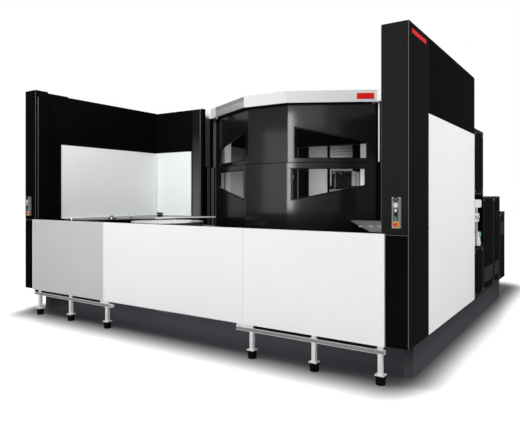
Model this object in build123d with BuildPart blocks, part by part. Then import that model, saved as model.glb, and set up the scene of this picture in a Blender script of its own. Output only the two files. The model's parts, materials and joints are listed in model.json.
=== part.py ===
from build123d import *
from math import cos, sin, tan, radians
import os

# Twin-station horizontal machining center: white and black loading guard in front, three-faced
# work-room bay with a telescoping lift door, moving-column machine behind it.
# Millimetres, +X to the operator's right, +Y to the back, +Z up, floor at Z = 0.
# The origin is on the floor, in the middle of the whole footprint.

os.makedirs("parts", exist_ok=True)

# Overall sizes
machine_width = 6350
half_width = machine_width / 2
front_reach = 70          # how far the emergency stops stand in front of the column faces
running_gap = 0.3         # clearance beside a piece that moves
seam = 3                  # visible joint between two covers
sheet = 4

# Levels above the floor, the guard's height follows from the door's two leaves
skirt_bottom = 380
barrier_top = 1500
column_joint = 1494
deck_top = 1490
deck_thickness = 20
leaf_bottom = 1160
lower_leaf_height = 1270
upper_leaf_height = 980
leaf_overlap = 35
leaf_headroom = 17
header_height = 193
wall_fold = 25            # from the side walls' inner edge up to the covers' top
liner_drop = 838          # from the covers' top down to the white panels' tops
outer_panel_drop = 818
lower_leaf_top = leaf_bottom + lower_leaf_height
upper_leaf_bottom = lower_leaf_top - leaf_overlap
upper_leaf_top = upper_leaf_bottom + upper_leaf_height
header_bottom = upper_leaf_top + leaf_headroom
cover_top = header_bottom + header_height
wall_top = cover_top - wall_fold
liner_top = cover_top - liner_drop
outer_panel_top = cover_top - outer_panel_drop

# Corner columns and side walls, depths are from the column faces
column_width = 280
column_nose_depth = 224
column_side_depth = 674
wall_thickness = 189
skin = 20
panel_edge = 2
tongue_clearance = 8
tongue_front = 300
plinth_thickness = 100
plinth_setback = 80
plinth_front = 330
wall_chamfer = 60
wall_inner_x = half_width - wall_thickness

# Front barrier and its stands
barrier_lap = 40          # over the noses of the columns
barrier_half = half_width - column_width + barrier_lap
barrier_thickness = 30
centre_panel_half = 1215
panel_sheet = 3
stiffener_width = 50
stiffener_pitch = 560
rail_bottom = 304
rail_height = 43
rail_depth = 40
rail_sheet = 4
rail_axis = -15           # the stands' middle plane, from the column faces
post_size = 45
plate_size = 93
plate_thickness = 12
foot_height = 92
foot_diameter = 99
foot_edge = 6
pad_width = 50
# Along the left stand, from the barrier's end or from the joint with the centre panel
left_rail_inset = 49
left_rail_overrun = 175
left_outer_foot = 192
left_middle_foot = 758
left_inner_foot = 60
left_bridge_reach = 75
# Along the right stand, likewise
right_rail_outset = 5
right_rail_overrun = 95
right_outer_foot = 41
right_middle_foot = 937
right_inner_foot = 128
right_bridge_reach = 150
bridge_overrun = 85
left_rail = (left_rail_inset - barrier_half, left_rail_overrun - centre_panel_half)
left_feet = (
    left_outer_foot - barrier_half,
    -centre_panel_half - left_middle_foot,
    left_inner_foot - centre_panel_half,
)
left_bridge = (-centre_panel_half - left_bridge_reach, bridge_overrun - centre_panel_half)
right_rail = (centre_panel_half - right_rail_overrun, barrier_half + right_rail_outset)
right_feet = (
    centre_panel_half + right_inner_foot,
    centre_panel_half + right_middle_foot,
    barrier_half - right_outer_foot,
)
right_bridge = (centre_panel_half - bridge_overrun, centre_panel_half + right_bridge_reach)

# Three-faced bay and its telescoping door
bay_centre_half = 420
bay_front = 2297
bay_face_depth = 689      # from the centre face back to the flat ends
bay_angle = 28.7
bay_flat = 230
bay_side = bay_front + bay_face_depth
bay_fold_x = bay_centre_half + bay_face_depth / tan(radians(bay_angle))
bay_end_x = bay_fold_x + bay_flat
corner_shift = tan(radians(bay_angle / 2))
header_thickness = 35
lower_leaf_setback = 40
lower_leaf_flat = 60
upper_leaf_setback = 95
upper_leaf_flat = 25
leaf_thickness = 30
lower_leaf_end_x = bay_fold_x - lower_leaf_setback * corner_shift + lower_leaf_flat
upper_leaf_end_x = bay_fold_x - upper_leaf_setback * corner_shift + upper_leaf_flat
post_depth = 214
post_end_gap = 5
post_guide_lap = 60       # behind the leaves' flat ends
post_rear = bay_side + post_depth
roof_setback = 140
roof_thickness = 20
pane_thickness = 8
pane_clearance = 0.3
# Window corners: distance outward from the centre face's edge, height from the leaf's bottom or top
upper_window = ((112, 109), (1290, 95), (1290, 371), (112, 616))
lower_window = ((70, -622), (1266, -379), (1266, -108), (70, -103))

# Back walls and white inner panels; the left wall comes further in beside the bay
back_wall_setback = 217
back_wall_thickness = 80
left_back_wall_lap = 178
right_back_wall_lap = 49
back_wall_return = 60
inner_panel_front = 538
back_panel_inset = 104
back_wall_depth = bay_side - back_wall_setback
back_panel_inner_x = bay_end_x + back_panel_inset
wall_tail = 238
wall_rear = back_wall_depth + wall_tail

# Work room
post_lap = 69
room_half = bay_end_x - post_lap
room_wall = 20
room_length = 2000
room_rear = post_rear + room_length
room_bottom = 700
spindle_window_half = 1000
spindle_window_bottom = 1330
spindle_window_top = 2960
tray_thickness = 10
tray_inner_z = 660
tray_outer_z = 1000

# Rear cabinets on the right
cabinet_width = 725
cabinet_inner_x = half_width - cabinet_width
upper_cabinet_length = 633
cabinet_length = 1510
first_door_length = 900
cabinet_top = 1872
door_thickness = 25
door_seam = 4
latch_width = 34
latch_height = 150
latch_recess = 12
latch_inset = 40
latch_z = 1180
lever_width = 20
upper_cabinet_bottom = 1880
upper_cabinet_top = 2861
cabinet_back_plate = 40
tank_top = 1120
coolant_length = 530
coolant_top = 1590
cabinet_front = wall_rear + upper_cabinet_length
cabinet_back = cabinet_front + cabinet_length
coolant_back = cabinet_back + coolant_length
# Hydraulic fittings in the recess under the upper cabinet
manifold_size = 300
manifold_height = 120
manifold_bottom = 1700
manifold_inset = 30
manifold_gap = 10
riser_width = 120
riser_length = 200
accumulator_radius = 95
accumulator_height = 380
accumulator_inset = 130
accumulator_depth = 450
filter_radius = 60
filter_height = 120

# Rear enclosure
enclosure_gap = 250       # to the electrical cabinet
enclosure_half = cabinet_inner_x - enclosure_gap
enclosure_wall = 20
panel_groove = 8
panel_groove_depth = 4
rear_panels = 4
side_panels = 2
service_door_width = 900
service_door_top = 2050
service_door_bottom = 90
louvre_width = 600
louvre_height = 14
louvre_pitch = 40
louvre_depth = 10
louvre_z = 2800
louvres = 8

# Bed, rails and moving units
rotary_diameter = 1080
rotary_height = 190
pallet_side = 1250
pallet_thickness = 160
pallet_corner = 60
saddle_half = 640
saddle_length = 1300
saddle_height = 150
table_gap = 253           # from the table's pallet to the closed door
table_home = bay_front + upper_leaf_setback + leaf_thickness + table_gap + pallet_side / 2
table_rail_x = 450
table_rail_front = table_home - saddle_length / 2
rail_width = 60
slide_rail_height = 50
bed_half = 700
bed_nose = 50             # in front of the table's rails
bed_front = table_rail_front - bed_nose
bed_top = 800
bed_bottom = 60
rear_bed_inset = 200
rear_bed_half = enclosure_half - rear_bed_inset
rear_bed_gap = 100
rear_bed_length = 1200
rear_bed_front = room_rear + rear_bed_gap
rear_bed_back = rear_bed_front + rear_bed_length
rear_bed_top = 950
bed_rib_pitch = 520
bed_rib_width = 60
bed_pocket = 70
level_foot_diameter = 130
column_gap = 100          # from the rear bed's front to the column
column_length = 950
column_rail_inset = 100
column_front = rear_bed_front + column_gap
column_back = column_front + column_length
column_rail_depths = (column_front + column_rail_inset, column_back - column_rail_inset)
column_half = 520
column_height = 2250
column_slot_half = 260
column_slot_gap = 40
column_top_tie = 260
column_headroom = 142     # from the column's top to the rear enclosure's roof
enclosure_top = rear_bed_top + slide_rail_height + column_height + column_headroom
head_half = 240
head_height = 620
head_gap = 20             # from the work room's rear wall to the head
head_length = 640
head_front = room_rear + room_wall + head_gap
head_back = head_front + head_length
column_slot_depth = head_back - column_front + column_slot_gap
spindle_home_z = 1540
quill_radius = 170
quill_length = 240
quill_front = head_front - quill_length
nose_radius = 110
nose_length = 140
tool_bore_radius = 35
tool_bore_depth = 100
tool_bore_taper = 8
rear_aisle = 450          # from the bed to the back of the rear enclosure
rear_reach = rear_bed_back + rear_aisle
slot_pitch = 250
slot_throat = 22
slot_head = 37
slot_head_height = 16
slot_depth = 38

# Loading stations
pallet_path_x = 370       # along the angled face to the pallet path's centre line
station_distance = 1000   # out from the angled face to the pallet's centre
stand_top_diameter = 1000
stand_neck_diameter = 620
stand_foot_diameter = 900
stand_foot_height = 90
beam_pitch = 440          # between the two beams that lead a pallet to the door
beam_width = 120
beam_height = 200
beam_bottom = 820
cone_radius = 40
cone_height = 30
cone_pitch = 700
cone_taper = 20
deck_path_gap = 47        # from a pallet's side to the deck's edge
deck_face_gap = 94        # from the bay's face to the deck's edge
deck_front = 600

# Tool magazine and changer
magazine_gap = 520        # from the work room's wall to the magazine's disc
magazine_z = 2150
magazine_x = room_half + room_wall + magazine_gap
magazine_radius = 480
magazine_disc = 60
pot_radius = 62
pot_edge = 12             # from a pot to the disc's rim
pot_length = 190
pot_count = 18
housing_cover = 500       # from the disc to the housing's outer wall
housing_gap = 150         # from the bay posts to the housing
housing_length = 1500
housing_height = 1500
housing_wall = 15
housing_leg = 120
housing_outer_x = magazine_x + housing_cover
housing_front = post_rear + housing_gap
housing_back = housing_front + housing_length
housing_bottom = magazine_z - housing_height / 2
housing_top = magazine_z + housing_height / 2
magazine_depth = (housing_front + housing_back) / 2
arm_reach = 330
arm_grip_radius = 65
arm_hub_radius = 91
arm_thickness = 70
arm_shaft_radius = 50
arm_wall_gap = 25
arm_z = 2300
arm_x = room_half - arm_reach - arm_grip_radius - arm_wall_gap
arm_shaft_length = 140
arm_front = room_rear - arm_shaft_length

# Button stations
station_inset = 117       # from the machine's side to the buttons' line
station_x = half_width - station_inset
station_width = 87
station_bottom = 1560
station_top = 1865
station_depth = 35
station_sheet = 3
selector_z = 1787
white_button_z = 1735
black_button_z = 1697
green_button_z = 1657
stop_z = 1598
lamp_z = 1842
stem_radius = 11
button_radius = 14
button_reach = 12
stop_radius = 20
stop_collar_radius = 30
stop_collar_depth = 4
stem_length = 24
lamp_radius = 12
button_lift = 6
selector_rim = 2

# The column faces' place, with the footprint's middle at Y = 0
front_y = front_reach - (front_reach + rear_reach) / 2


def y_at(depth):
    """The Y of a plane that lies this far behind the column faces."""
    return front_y + depth


def box_between(x0, x1, depth0, depth1, z0, z1, mode=Mode.ADD):
    """A block given by its six faces, depths counted from the column faces."""
    centre = ((x0 + x1) / 2, (y_at(depth0) + y_at(depth1)) / 2, (z0 + z1) / 2)
    with Locations(centre):
        return Box(abs(x1 - x0), abs(depth1 - depth0), z1 - z0, mode=mode)


def finish(builder, label):
    builder.part.label = label
    export_step(builder.part, "parts/" + label + ".step")


def beside_bay(along, outward):
    """X and depth of a place given along the right angled face and out from it."""
    return (
        bay_centre_half + along * cos(radians(bay_angle)) + outward * sin(radians(bay_angle)),
        bay_front + along * sin(radians(bay_angle)) - outward * cos(radians(bay_angle)),
    )


sides = ((-1, "left"), (1, "right"))
station_centre = beside_bay(pallet_path_x, station_distance)


# Corner columns: folded sheet round the wall's front end, in an upper and a lower length
def column_outline(side):
    outer = side * half_width
    nose = side * (half_width - column_width)
    inner = side * wall_inner_x
    return [
        (outer, y_at(0)),
        (outer, y_at(column_side_depth)),
        (inner, y_at(column_side_depth)),
        (inner, y_at(column_nose_depth)),
        (nose, y_at(column_nose_depth)),
        (nose, y_at(0)),
    ]


def column_cover(side, z0, z1, capped):
    with BuildPart() as cover:
        with BuildSketch(Plane.XY.offset(z0)):
            with BuildLine():
                Polyline(*column_outline(side), close=True)
            make_face()
            offset(amount=-sheet, kind=Kind.INTERSECTION, mode=Mode.SUBTRACT)
        extrude(amount=z1 - z0)
        if capped:
            with BuildSketch(Plane.XY.offset(z1 - sheet)):
                with BuildLine():
                    Polyline(*column_outline(side), close=True)
                make_face()
            extrude(amount=sheet)
        box_between(
            side * (wall_inner_x + sheet), side * (half_width - sheet),
            column_side_depth - sheet, column_side_depth,
            z0, z1 - sheet if capped else z1, mode=Mode.SUBTRACT,
        )
    return cover


for side, name in sides:
    lower = column_cover(side, skirt_bottom, column_joint - seam / 2, capped=False)
    finish(lower, name + "_column_lower_cover")
    upper = column_cover(side, column_joint + seam / 2, cover_top, capped=True)
    finish(upper, name + "_column_upper_cover")

# Side walls: a thick panel with a sloped top fold, a tongue inside the column and a set-back plinth
for side, name in sides:
    with BuildPart() as side_wall:
        with BuildSketch(Plane.XZ.offset(-y_at(column_side_depth))):
            with BuildLine():
                Polyline(
                    (side * wall_inner_x, skirt_bottom),
                    (side * wall_inner_x, wall_top),
                    (side * (wall_inner_x + wall_chamfer), cover_top),
                    (side * half_width, cover_top),
                    (side * half_width, outer_panel_top),
                    (side * (half_width - skin), outer_panel_top),
                    (side * (half_width - skin), skirt_bottom),
                    close=True,
                )
            make_face()
        extrude(amount=-(wall_rear - column_side_depth))
        box_between(
            side * (wall_inner_x + sheet + tongue_clearance),
            side * (half_width - sheet - tongue_clearance),
            tongue_front, column_side_depth, skirt_bottom, wall_top,
        )
        box_between(
            side * (wall_inner_x + plinth_setback - plinth_thickness / 2),
            side * (wall_inner_x + plinth_setback + plinth_thickness / 2),
            plinth_front, wall_rear - plinth_setback, 0, skirt_bottom,
        )
    finish(side_wall, name + "_side_wall")

    with BuildPart() as outer_panel:
        box_between(
            side * (half_width - skin), side * half_width,
            column_side_depth, wall_rear, skirt_bottom, outer_panel_top,
        )
        fillet(outer_panel.edges().filter_by(Axis.Z).group_by(Axis.X)[-1 if side > 0 else 0], panel_edge)
    finish(outer_panel, name + "_outer_panel")

# Back walls, each with a return that closes towards the bay
with BuildPart() as back_walls:
    for side, lap in ((-1, left_back_wall_lap), (1, right_back_wall_lap)):
        end_x = bay_end_x - lap
        box_between(
            side * end_x, side * wall_inner_x,
            back_wall_depth, back_wall_depth + back_wall_thickness, skirt_bottom, wall_top,
        )
        box_between(
            side * end_x, side * (end_x + back_wall_return),
            back_wall_depth + back_wall_thickness, bay_side, skirt_bottom, header_bottom,
        )
        box_between(
            side * (end_x + back_wall_return), side * (wall_inner_x - plinth_setback),
            back_wall_depth, back_wall_depth + back_wall_thickness, 0, skirt_bottom,
        )
finish(back_walls, "back_walls")

# White inner panels, one on each side wall and one on each back wall, above the decks
with BuildPart() as inner_panels:
    for side, name in sides:
        box_between(
            side * (wall_inner_x - skin), side * wall_inner_x,
            inner_panel_front, back_wall_depth, deck_top, liner_top,
        )
        box_between(
            side * back_panel_inner_x, side * (wall_inner_x - skin - seam),
            back_wall_depth - skin, back_wall_depth, deck_top, liner_top,
        )
finish(inner_panels, "inner_panels")

# Corner decks, cut square to the bay's face along the pallet paths
with BuildPart() as corner_decks:
    for side, name in sides:
        tip = beside_bay(pallet_path_x + pallet_side / 2 + deck_path_gap, deck_face_gap)
        along = (side * cos(radians(bay_angle)), sin(radians(bay_angle)), 0)
        with BuildSketch(Plane((side * tip[0], y_at(tip[1]), deck_top - deck_thickness), x_dir=along)):
            reach = (Align.MIN, Align.MAX if side > 0 else Align.MIN)
            Rectangle(machine_width, machine_width, align=reach)
        extrude(amount=deck_thickness)
    box_between(
        -wall_inner_x, wall_inner_x, deck_front, back_wall_depth, deck_top - deck_thickness, deck_top,
        mode=Mode.INTERSECT,
    )
finish(corner_decks, "corner_decks")


# Front barrier: three folded trays with upright stiffeners inside
def front_panel(x0, x1):
    with BuildPart() as panel:
        box_between(x0, x1, -barrier_thickness, 0, skirt_bottom, barrier_top)
        box_between(
            x0 + panel_sheet, x1 - panel_sheet, panel_sheet - barrier_thickness, 0,
            skirt_bottom + panel_sheet, barrier_top - panel_sheet, mode=Mode.SUBTRACT,
        )
        ribs = int((x1 - x0) // stiffener_pitch)
        middle = (
            (x0 + x1) / 2,
            y_at((panel_sheet - barrier_thickness) / 2),
            (skirt_bottom + barrier_top) / 2,
        )
        stiffener_height = barrier_top - skirt_bottom - panel_sheet
        with Locations(middle):
            with GridLocations(stiffener_pitch, 1, ribs, 1):
                Box(stiffener_width, barrier_thickness - panel_sheet, stiffener_height)
    return panel


finish(front_panel(-barrier_half, -centre_panel_half - seam / 2), "left_front_panel")
finish(front_panel(-centre_panel_half + seam / 2, centre_panel_half - seam / 2), "centre_front_panel")
finish(front_panel(centre_panel_half + seam / 2, barrier_half), "right_front_panel")


# Barrier stands: a channel rail open to the front, on three posts with base plates
def stand(rail, feet, bridge):
    rail_top = rail_bottom + rail_height
    post_bottom = foot_height + plate_thickness
    box_between(
        rail[0], rail[1], rail_axis - rail_depth / 2, rail_axis + rail_depth / 2, rail_bottom, rail_top,
    )
    box_between(
        rail[0], rail[1], rail_axis - rail_depth / 2, rail_axis + rail_depth / 2 - rail_sheet,
        rail_bottom + rail_sheet, rail_top - rail_sheet, mode=Mode.SUBTRACT,
    )
    for x in feet:
        half = post_size / 2
        box_between(x - half, x + half, rail_axis - half, rail_axis + half, post_bottom, rail_bottom)
        half = plate_size / 2
        box_between(x - half, x + half, rail_axis - half, rail_axis + half, foot_height, post_bottom)
        if not bridge[0] < x < bridge[1]:
            half = pad_width / 2
            box_between(
                x - half, min(x + half, rail[1]), rail_axis - barrier_thickness / 2,
                rail_axis + barrier_thickness / 2, rail_top, skirt_bottom,
            )
    box_between(
        bridge[0], bridge[1], rail_axis - barrier_thickness / 2,
        rail_axis + barrier_thickness / 2, rail_top, skirt_bottom,
    )


with BuildPart() as barrier_stands:
    stand(left_rail, left_feet, left_bridge)
    stand(right_rail, right_feet, right_bridge)
finish(barrier_stands, "barrier_stands")

with BuildPart() as stand_feet:
    for x in left_feet + right_feet:
        with Locations((x, y_at(rail_axis), foot_height / 2)):
            Cylinder(foot_diameter / 2, foot_height)
    chamfer(stand_feet.edges().filter_by(GeomType.CIRCLE), foot_edge)
finish(stand_feet, "stand_feet")


# The bay's outline: flat end, angled face, centre face, angled face, flat end
def bay_band(setback, thickness, end_x):
    front = []
    for x, depth in ((end_x, bay_side), (bay_fold_x, bay_side), (bay_centre_half, bay_front)):
        front.append((x, depth))
    outline = []
    for level, order in ((setback, 1), (setback + thickness, -1)):
        shift = level * corner_shift
        run = [(-front[0][0], front[0][1] + level)]
        run += [(-(x - shift), depth + level) for x, depth in front[1:]]
        run += [(x - shift, depth + level) for x, depth in reversed(front[1:])]
        run += [(front[0][0], front[0][1] + level)]
        outline += run[::order]
    return [(x, y_at(depth)) for x, depth in outline]


def bay_shell(setback, thickness, end_x, z0, z1):
    with BuildSketch(Plane.XY.offset(z0)) as band:
        with BuildLine():
            Polyline(*bay_band(setback, thickness, end_x), close=True)
        make_face()
    extrude(to_extrude=band.sketch, amount=z1 - z0)


def face_plane(side, setback):
    """The plane of an angled face: x runs outward from the centre face, y runs up."""
    shift = setback * corner_shift
    return Plane(
        origin=(side * (bay_centre_half - shift), y_at(bay_front + setback), 0),
        x_dir=(side * cos(radians(bay_angle)), sin(radians(bay_angle)), 0),
        z_dir=(sin(radians(bay_angle)), -side * cos(radians(bay_angle)), 0),
    )


def window_sketch(side, setback, level, corners, depth=0, inset=0):
    with BuildSketch(face_plane(side, setback).offset(-side * depth)) as window:
        with BuildLine():
            Polyline(*[(along, level + height) for along, height in corners], close=True)
        make_face()
        if inset:
            offset(amount=-inset, kind=Kind.INTERSECTION, mode=Mode.REPLACE)
    return window.sketch


with BuildPart() as bay_header:
    bay_shell(0, header_thickness, bay_end_x, header_bottom, cover_top)
finish(bay_header, "bay_header")

# The sill carries the closed door and closes the bay down to the floor
with BuildPart() as bay_sill:
    sill_end_x = lower_leaf_end_x + post_end_gap
    bay_shell(lower_leaf_setback, leaf_thickness, sill_end_x, 0, leaf_bottom - running_gap)
finish(bay_sill, "bay_sill")

# Bay posts: an arm behind the header's end and a guide face behind the door
guide_face = bay_side + upper_leaf_setback + leaf_thickness + running_gap
post_inner_x = sill_end_x
guide_inner_x = upper_leaf_end_x - post_guide_lap
with BuildPart() as bay_posts:
    for side, name in sides:
        with BuildSketch(Plane.XY):
            with BuildLine():
                Polyline(
                    (side * bay_end_x, y_at(bay_side + header_thickness)),
                    (side * bay_end_x, y_at(post_rear)),
                    (side * guide_inner_x, y_at(post_rear)),
                    (side * guide_inner_x, y_at(guide_face)),
                    (side * post_inner_x, y_at(guide_face)),
                    (side * post_inner_x, y_at(bay_side + header_thickness)),
                    close=True,
                )
            make_face()
        extrude(amount=header_bottom)
        box_between(
            side * post_inner_x, side * bay_end_x,
            bay_side + header_thickness, post_rear, header_bottom, cover_top,
        )
finish(bay_posts, "bay_posts")


# Door leaves: three-faced shells with a window in each angled face
def door_leaf(setback, end_x, z0, z1, level, corners):
    with BuildPart() as leaf:
        bay_shell(setback, leaf_thickness, end_x, z0, z1)
        for side, name in sides:
            opening = window_sketch(side, setback, level, corners)
            extrude(to_extrude=opening, amount=leaf_thickness * 2, both=True, mode=Mode.SUBTRACT)
    return leaf


def window_panes(setback, level, corners):
    with BuildPart() as panes:
        for side, name in sides:
            pane = window_sketch(side, setback, level, corners, leaf_thickness / 2, pane_clearance)
            extrude(to_extrude=pane, amount=pane_thickness / 2, both=True)
    return panes


lower_leaf = door_leaf(
    lower_leaf_setback, lower_leaf_end_x, leaf_bottom, lower_leaf_top, lower_leaf_top, lower_window,
)
upper_leaf = door_leaf(
    upper_leaf_setback, upper_leaf_end_x, upper_leaf_bottom, upper_leaf_top, upper_leaf_bottom, upper_window,
)
finish(lower_leaf, "lower_door")
finish(upper_leaf, "upper_door")
finish(window_panes(lower_leaf_setback, lower_leaf_top, lower_window), "lower_windows")
finish(window_panes(upper_leaf_setback, upper_leaf_bottom, upper_window), "upper_windows")

# Work room: side walls, rear wall with the spindle's window, roof and chip trays
with BuildPart() as work_room_walls:
    for side, name in sides:
        box_between(
            side * room_half, side * (room_half + room_wall),
            post_rear, room_rear, room_bottom, header_bottom,
        )
finish(work_room_walls, "work_room_walls")

with BuildPart() as work_room_rear_wall:
    box_between(
        -enclosure_half, enclosure_half, room_rear, room_rear + room_wall, room_bottom, header_bottom,
    )
    box_between(
        -spindle_window_half, spindle_window_half, room_rear, room_rear + room_wall,
        spindle_window_bottom, spindle_window_top, mode=Mode.SUBTRACT,
    )
    box_between(
        -bed_half, bed_half, room_rear, room_rear + room_wall, room_bottom, bed_top, mode=Mode.SUBTRACT,
    )
finish(work_room_rear_wall, "work_room_rear_wall")

with BuildPart() as work_room_roof:
    roof_line = [point for point in bay_band(roof_setback, 1, room_half + room_wall)[:6]]
    with BuildSketch(Plane.XY.offset(header_bottom)):
        with BuildLine():
            Polyline(
                *roof_line,
                (room_half + room_wall, y_at(room_rear + room_wall)),
                (-room_half - room_wall, y_at(room_rear + room_wall)),
                close=True,
            )
        make_face()
    extrude(amount=roof_thickness)
    for side, name in sides:
        box_between(
            side * post_inner_x, side * bay_end_x, bay_side, post_rear,
            header_bottom, header_bottom + roof_thickness, mode=Mode.SUBTRACT,
        )
finish(work_room_roof, "work_room_roof")

with BuildPart() as chip_trays:
    for side, name in sides:
        with BuildSketch(Plane.XZ.offset(-y_at(post_rear))):
            with BuildLine():
                Polyline(
                    (side * bed_half, tray_inner_z),
                    (side * room_half, tray_outer_z),
                    (side * room_half, tray_outer_z + tray_thickness),
                    (side * bed_half, tray_inner_z + tray_thickness),
                    close=True,
                )
            make_face()
        extrude(amount=-(room_rear - post_rear))
finish(chip_trays, "chip_trays")

# Bed casting: a T in plan with ribbed sides
with BuildPart() as machine_bed:
    box_between(-bed_half, bed_half, bed_front, rear_bed_front, bed_bottom, bed_top)
    box_between(-rear_bed_half, rear_bed_half, rear_bed_front, rear_bed_back, bed_bottom, rear_bed_top)
    pockets = int((rear_bed_front - bed_front) // bed_rib_pitch)
    for side, name in sides:
        for number in range(pockets):
            start = bed_front + bed_rib_width + number * bed_rib_pitch
            box_between(
                side * (bed_half - bed_pocket), side * bed_half, start,
                start + bed_rib_pitch - bed_rib_width, bed_bottom + bed_rib_width,
                tray_inner_z - bed_rib_width, mode=Mode.SUBTRACT,
            )
finish(machine_bed, "machine_bed")

with BuildPart() as leveling_feet:
    feet = [(x, depth) for x in (-bed_half, bed_half) for depth in (bed_front, rear_bed_front)]
    feet += [(x, rear_bed_back) for x in (-rear_bed_half, 0, rear_bed_half)]
    feet += [(x, rear_bed_front) for x in (-rear_bed_half, rear_bed_half)]
    for x, depth in feet:
        inward_x = -1 if x > 0 else 1 if x < 0 else 0
        inward_y = 1 if depth < rear_bed_back else -1
        place = (
            x + inward_x * level_foot_diameter,
            y_at(depth) + inward_y * level_foot_diameter,
            bed_bottom / 2,
        )
        with Locations(place):
            Cylinder(level_foot_diameter / 2, bed_bottom)
finish(leveling_feet, "leveling_feet")

with BuildPart() as guide_rails:
    for side, name in sides:
        box_between(
            side * table_rail_x - rail_width / 2, side * table_rail_x + rail_width / 2,
            table_rail_front, room_rear, bed_top, bed_top + slide_rail_height,
        )
    for depth in column_rail_depths:
        box_between(
            -rear_bed_half, rear_bed_half, depth - rail_width / 2, depth + rail_width / 2,
            rear_bed_top, rear_bed_top + slide_rail_height,
        )
finish(guide_rails, "guide_rails")

# Table units: saddle on the rails, round table, pallet with T-slots
saddle_bottom = bed_top + slide_rail_height + running_gap
rotary_bottom = saddle_bottom + saddle_height + running_gap
pallet_bottom = rotary_bottom + rotary_height
with BuildPart() as table_saddle:
    box_between(
        -saddle_half, saddle_half, table_home - saddle_length / 2, table_home + saddle_length / 2,
        saddle_bottom, saddle_bottom + saddle_height,
    )
    chamfer(table_saddle.edges().filter_by(Axis.Z), saddle_height / 2)
finish(table_saddle, "table_saddle")

with BuildPart() as rotary_table:
    with Locations((0, y_at(table_home), rotary_bottom + rotary_height / 2)):
        Cylinder(rotary_diameter / 2, rotary_height)
finish(rotary_table, "rotary_table")


def pallet(x, depth, turn):
    with BuildPart() as plate:
        turned = (cos(radians(turn)), sin(radians(turn)), 0)
        with BuildSketch(Plane((x, y_at(depth), pallet_bottom), x_dir=turned)):
            Rectangle(pallet_side, pallet_side)
        extrude(amount=pallet_thickness)
        chamfer(plate.edges().filter_by(Axis.Z), pallet_corner)
        top = Plane((x, y_at(depth), pallet_bottom + pallet_thickness), x_dir=turned)
        slots = int((pallet_side - slot_pitch / 2) // slot_pitch)
        with BuildSketch(top):
            with GridLocations(slot_pitch, 1, slots, 1):
                Rectangle(slot_throat, pallet_side)
        extrude(amount=-slot_depth, mode=Mode.SUBTRACT)
        with BuildSketch(top.offset(-slot_depth)):
            with GridLocations(slot_pitch, 1, slots, 1):
                Rectangle(slot_head, pallet_side)
        extrude(amount=slot_head_height, mode=Mode.SUBTRACT)
    return plate


finish(pallet(0, table_home, 0), "table_pallet")
finish(pallet(-station_centre[0], station_centre[1], -bay_angle), "station_pallet")

# Pallet stands in the loading stations, with beams to the bay and seating cones on the empty one
with BuildPart() as pallet_stands:
    for side, name in sides:
        with BuildSketch(Plane.XY):
            with Locations((side * station_centre[0], y_at(station_centre[1]))):
                Circle(stand_foot_diameter / 2)
        extrude(amount=stand_foot_height)
        with BuildSketch(Plane.XY.offset(stand_foot_height)):
            with Locations((side * station_centre[0], y_at(station_centre[1]))):
                Circle(stand_neck_diameter / 2)
        extrude(amount=pallet_bottom - rotary_height / 2 - stand_foot_height)
        with BuildSketch(Plane.XY.offset(pallet_bottom - rotary_height / 2)):
            with Locations((side * station_centre[0], y_at(station_centre[1]))):
                Circle(stand_top_diameter / 2)
        extrude(amount=rotary_height / 2)
        path_plane = Plane(
            (side * station_centre[0], y_at(station_centre[1]), beam_bottom),
            x_dir=(-side * sin(radians(bay_angle)), cos(radians(bay_angle)), 0),
            z_dir=(0, 0, 1),
        )
        with BuildSketch(path_plane):
            with Locations((0, beam_pitch / 2), (0, -beam_pitch / 2)):
                Rectangle(station_distance + lower_leaf_setback, beam_width, align=(Align.MIN, Align.CENTER))
        extrude(amount=beam_height)
    right_top = Plane(
        (station_centre[0], y_at(station_centre[1]), pallet_bottom),
        x_dir=(cos(radians(bay_angle)), sin(radians(bay_angle)), 0),
        z_dir=(0, 0, 1),
    )
    with BuildSketch(right_top):
        with GridLocations(cone_pitch, cone_pitch, 2, 2):
            Circle(cone_radius)
    extrude(amount=cone_height, taper=cone_taper)
finish(pallet_stands, "pallet_stands")

# Moving column: two uprights tied at the top, the spindle head between them
column_bottom = rear_bed_top + slide_rail_height + running_gap
with BuildPart() as machine_column:
    box_between(
        -column_half, column_half, column_front, column_back, column_bottom, column_bottom + column_height,
    )
    box_between(
        -column_slot_half, column_slot_half, column_front, column_front + column_slot_depth,
        column_bottom + column_top_tie, column_bottom + column_height - column_top_tie, mode=Mode.SUBTRACT,
    )
    upright_edges = machine_column.edges().filter_by(Axis.Z).group_by(Axis.Y)[-1]
    chamfer(upright_edges, column_slot_half / 2)
finish(machine_column, "machine_column")

head_clearance = column_slot_half - head_half - running_gap
with BuildPart() as spindle_head:
    box_between(
        -head_half, head_half, head_front, head_back,
        spindle_home_z - head_height / 2 + quill_radius, spindle_home_z + head_height / 2 + quill_radius,
    )
    for side, name in sides:
        box_between(
            side * head_half, side * (head_half + head_clearance), column_front + sheet, head_back,
            spindle_home_z, spindle_home_z + head_height / 2,
        )
    quill_plane = Plane(
        (0, y_at(head_front), spindle_home_z), x_dir=(1, 0, 0), z_dir=(0, -1, 0),
    )
    with BuildSketch(quill_plane):
        Circle(quill_radius)
    extrude(amount=quill_length)
    with BuildSketch(quill_plane.offset(quill_length)):
        Circle(nose_radius / 2 + running_gap)
    extrude(amount=-quill_length, mode=Mode.SUBTRACT)
finish(spindle_head, "spindle_head")

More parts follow.
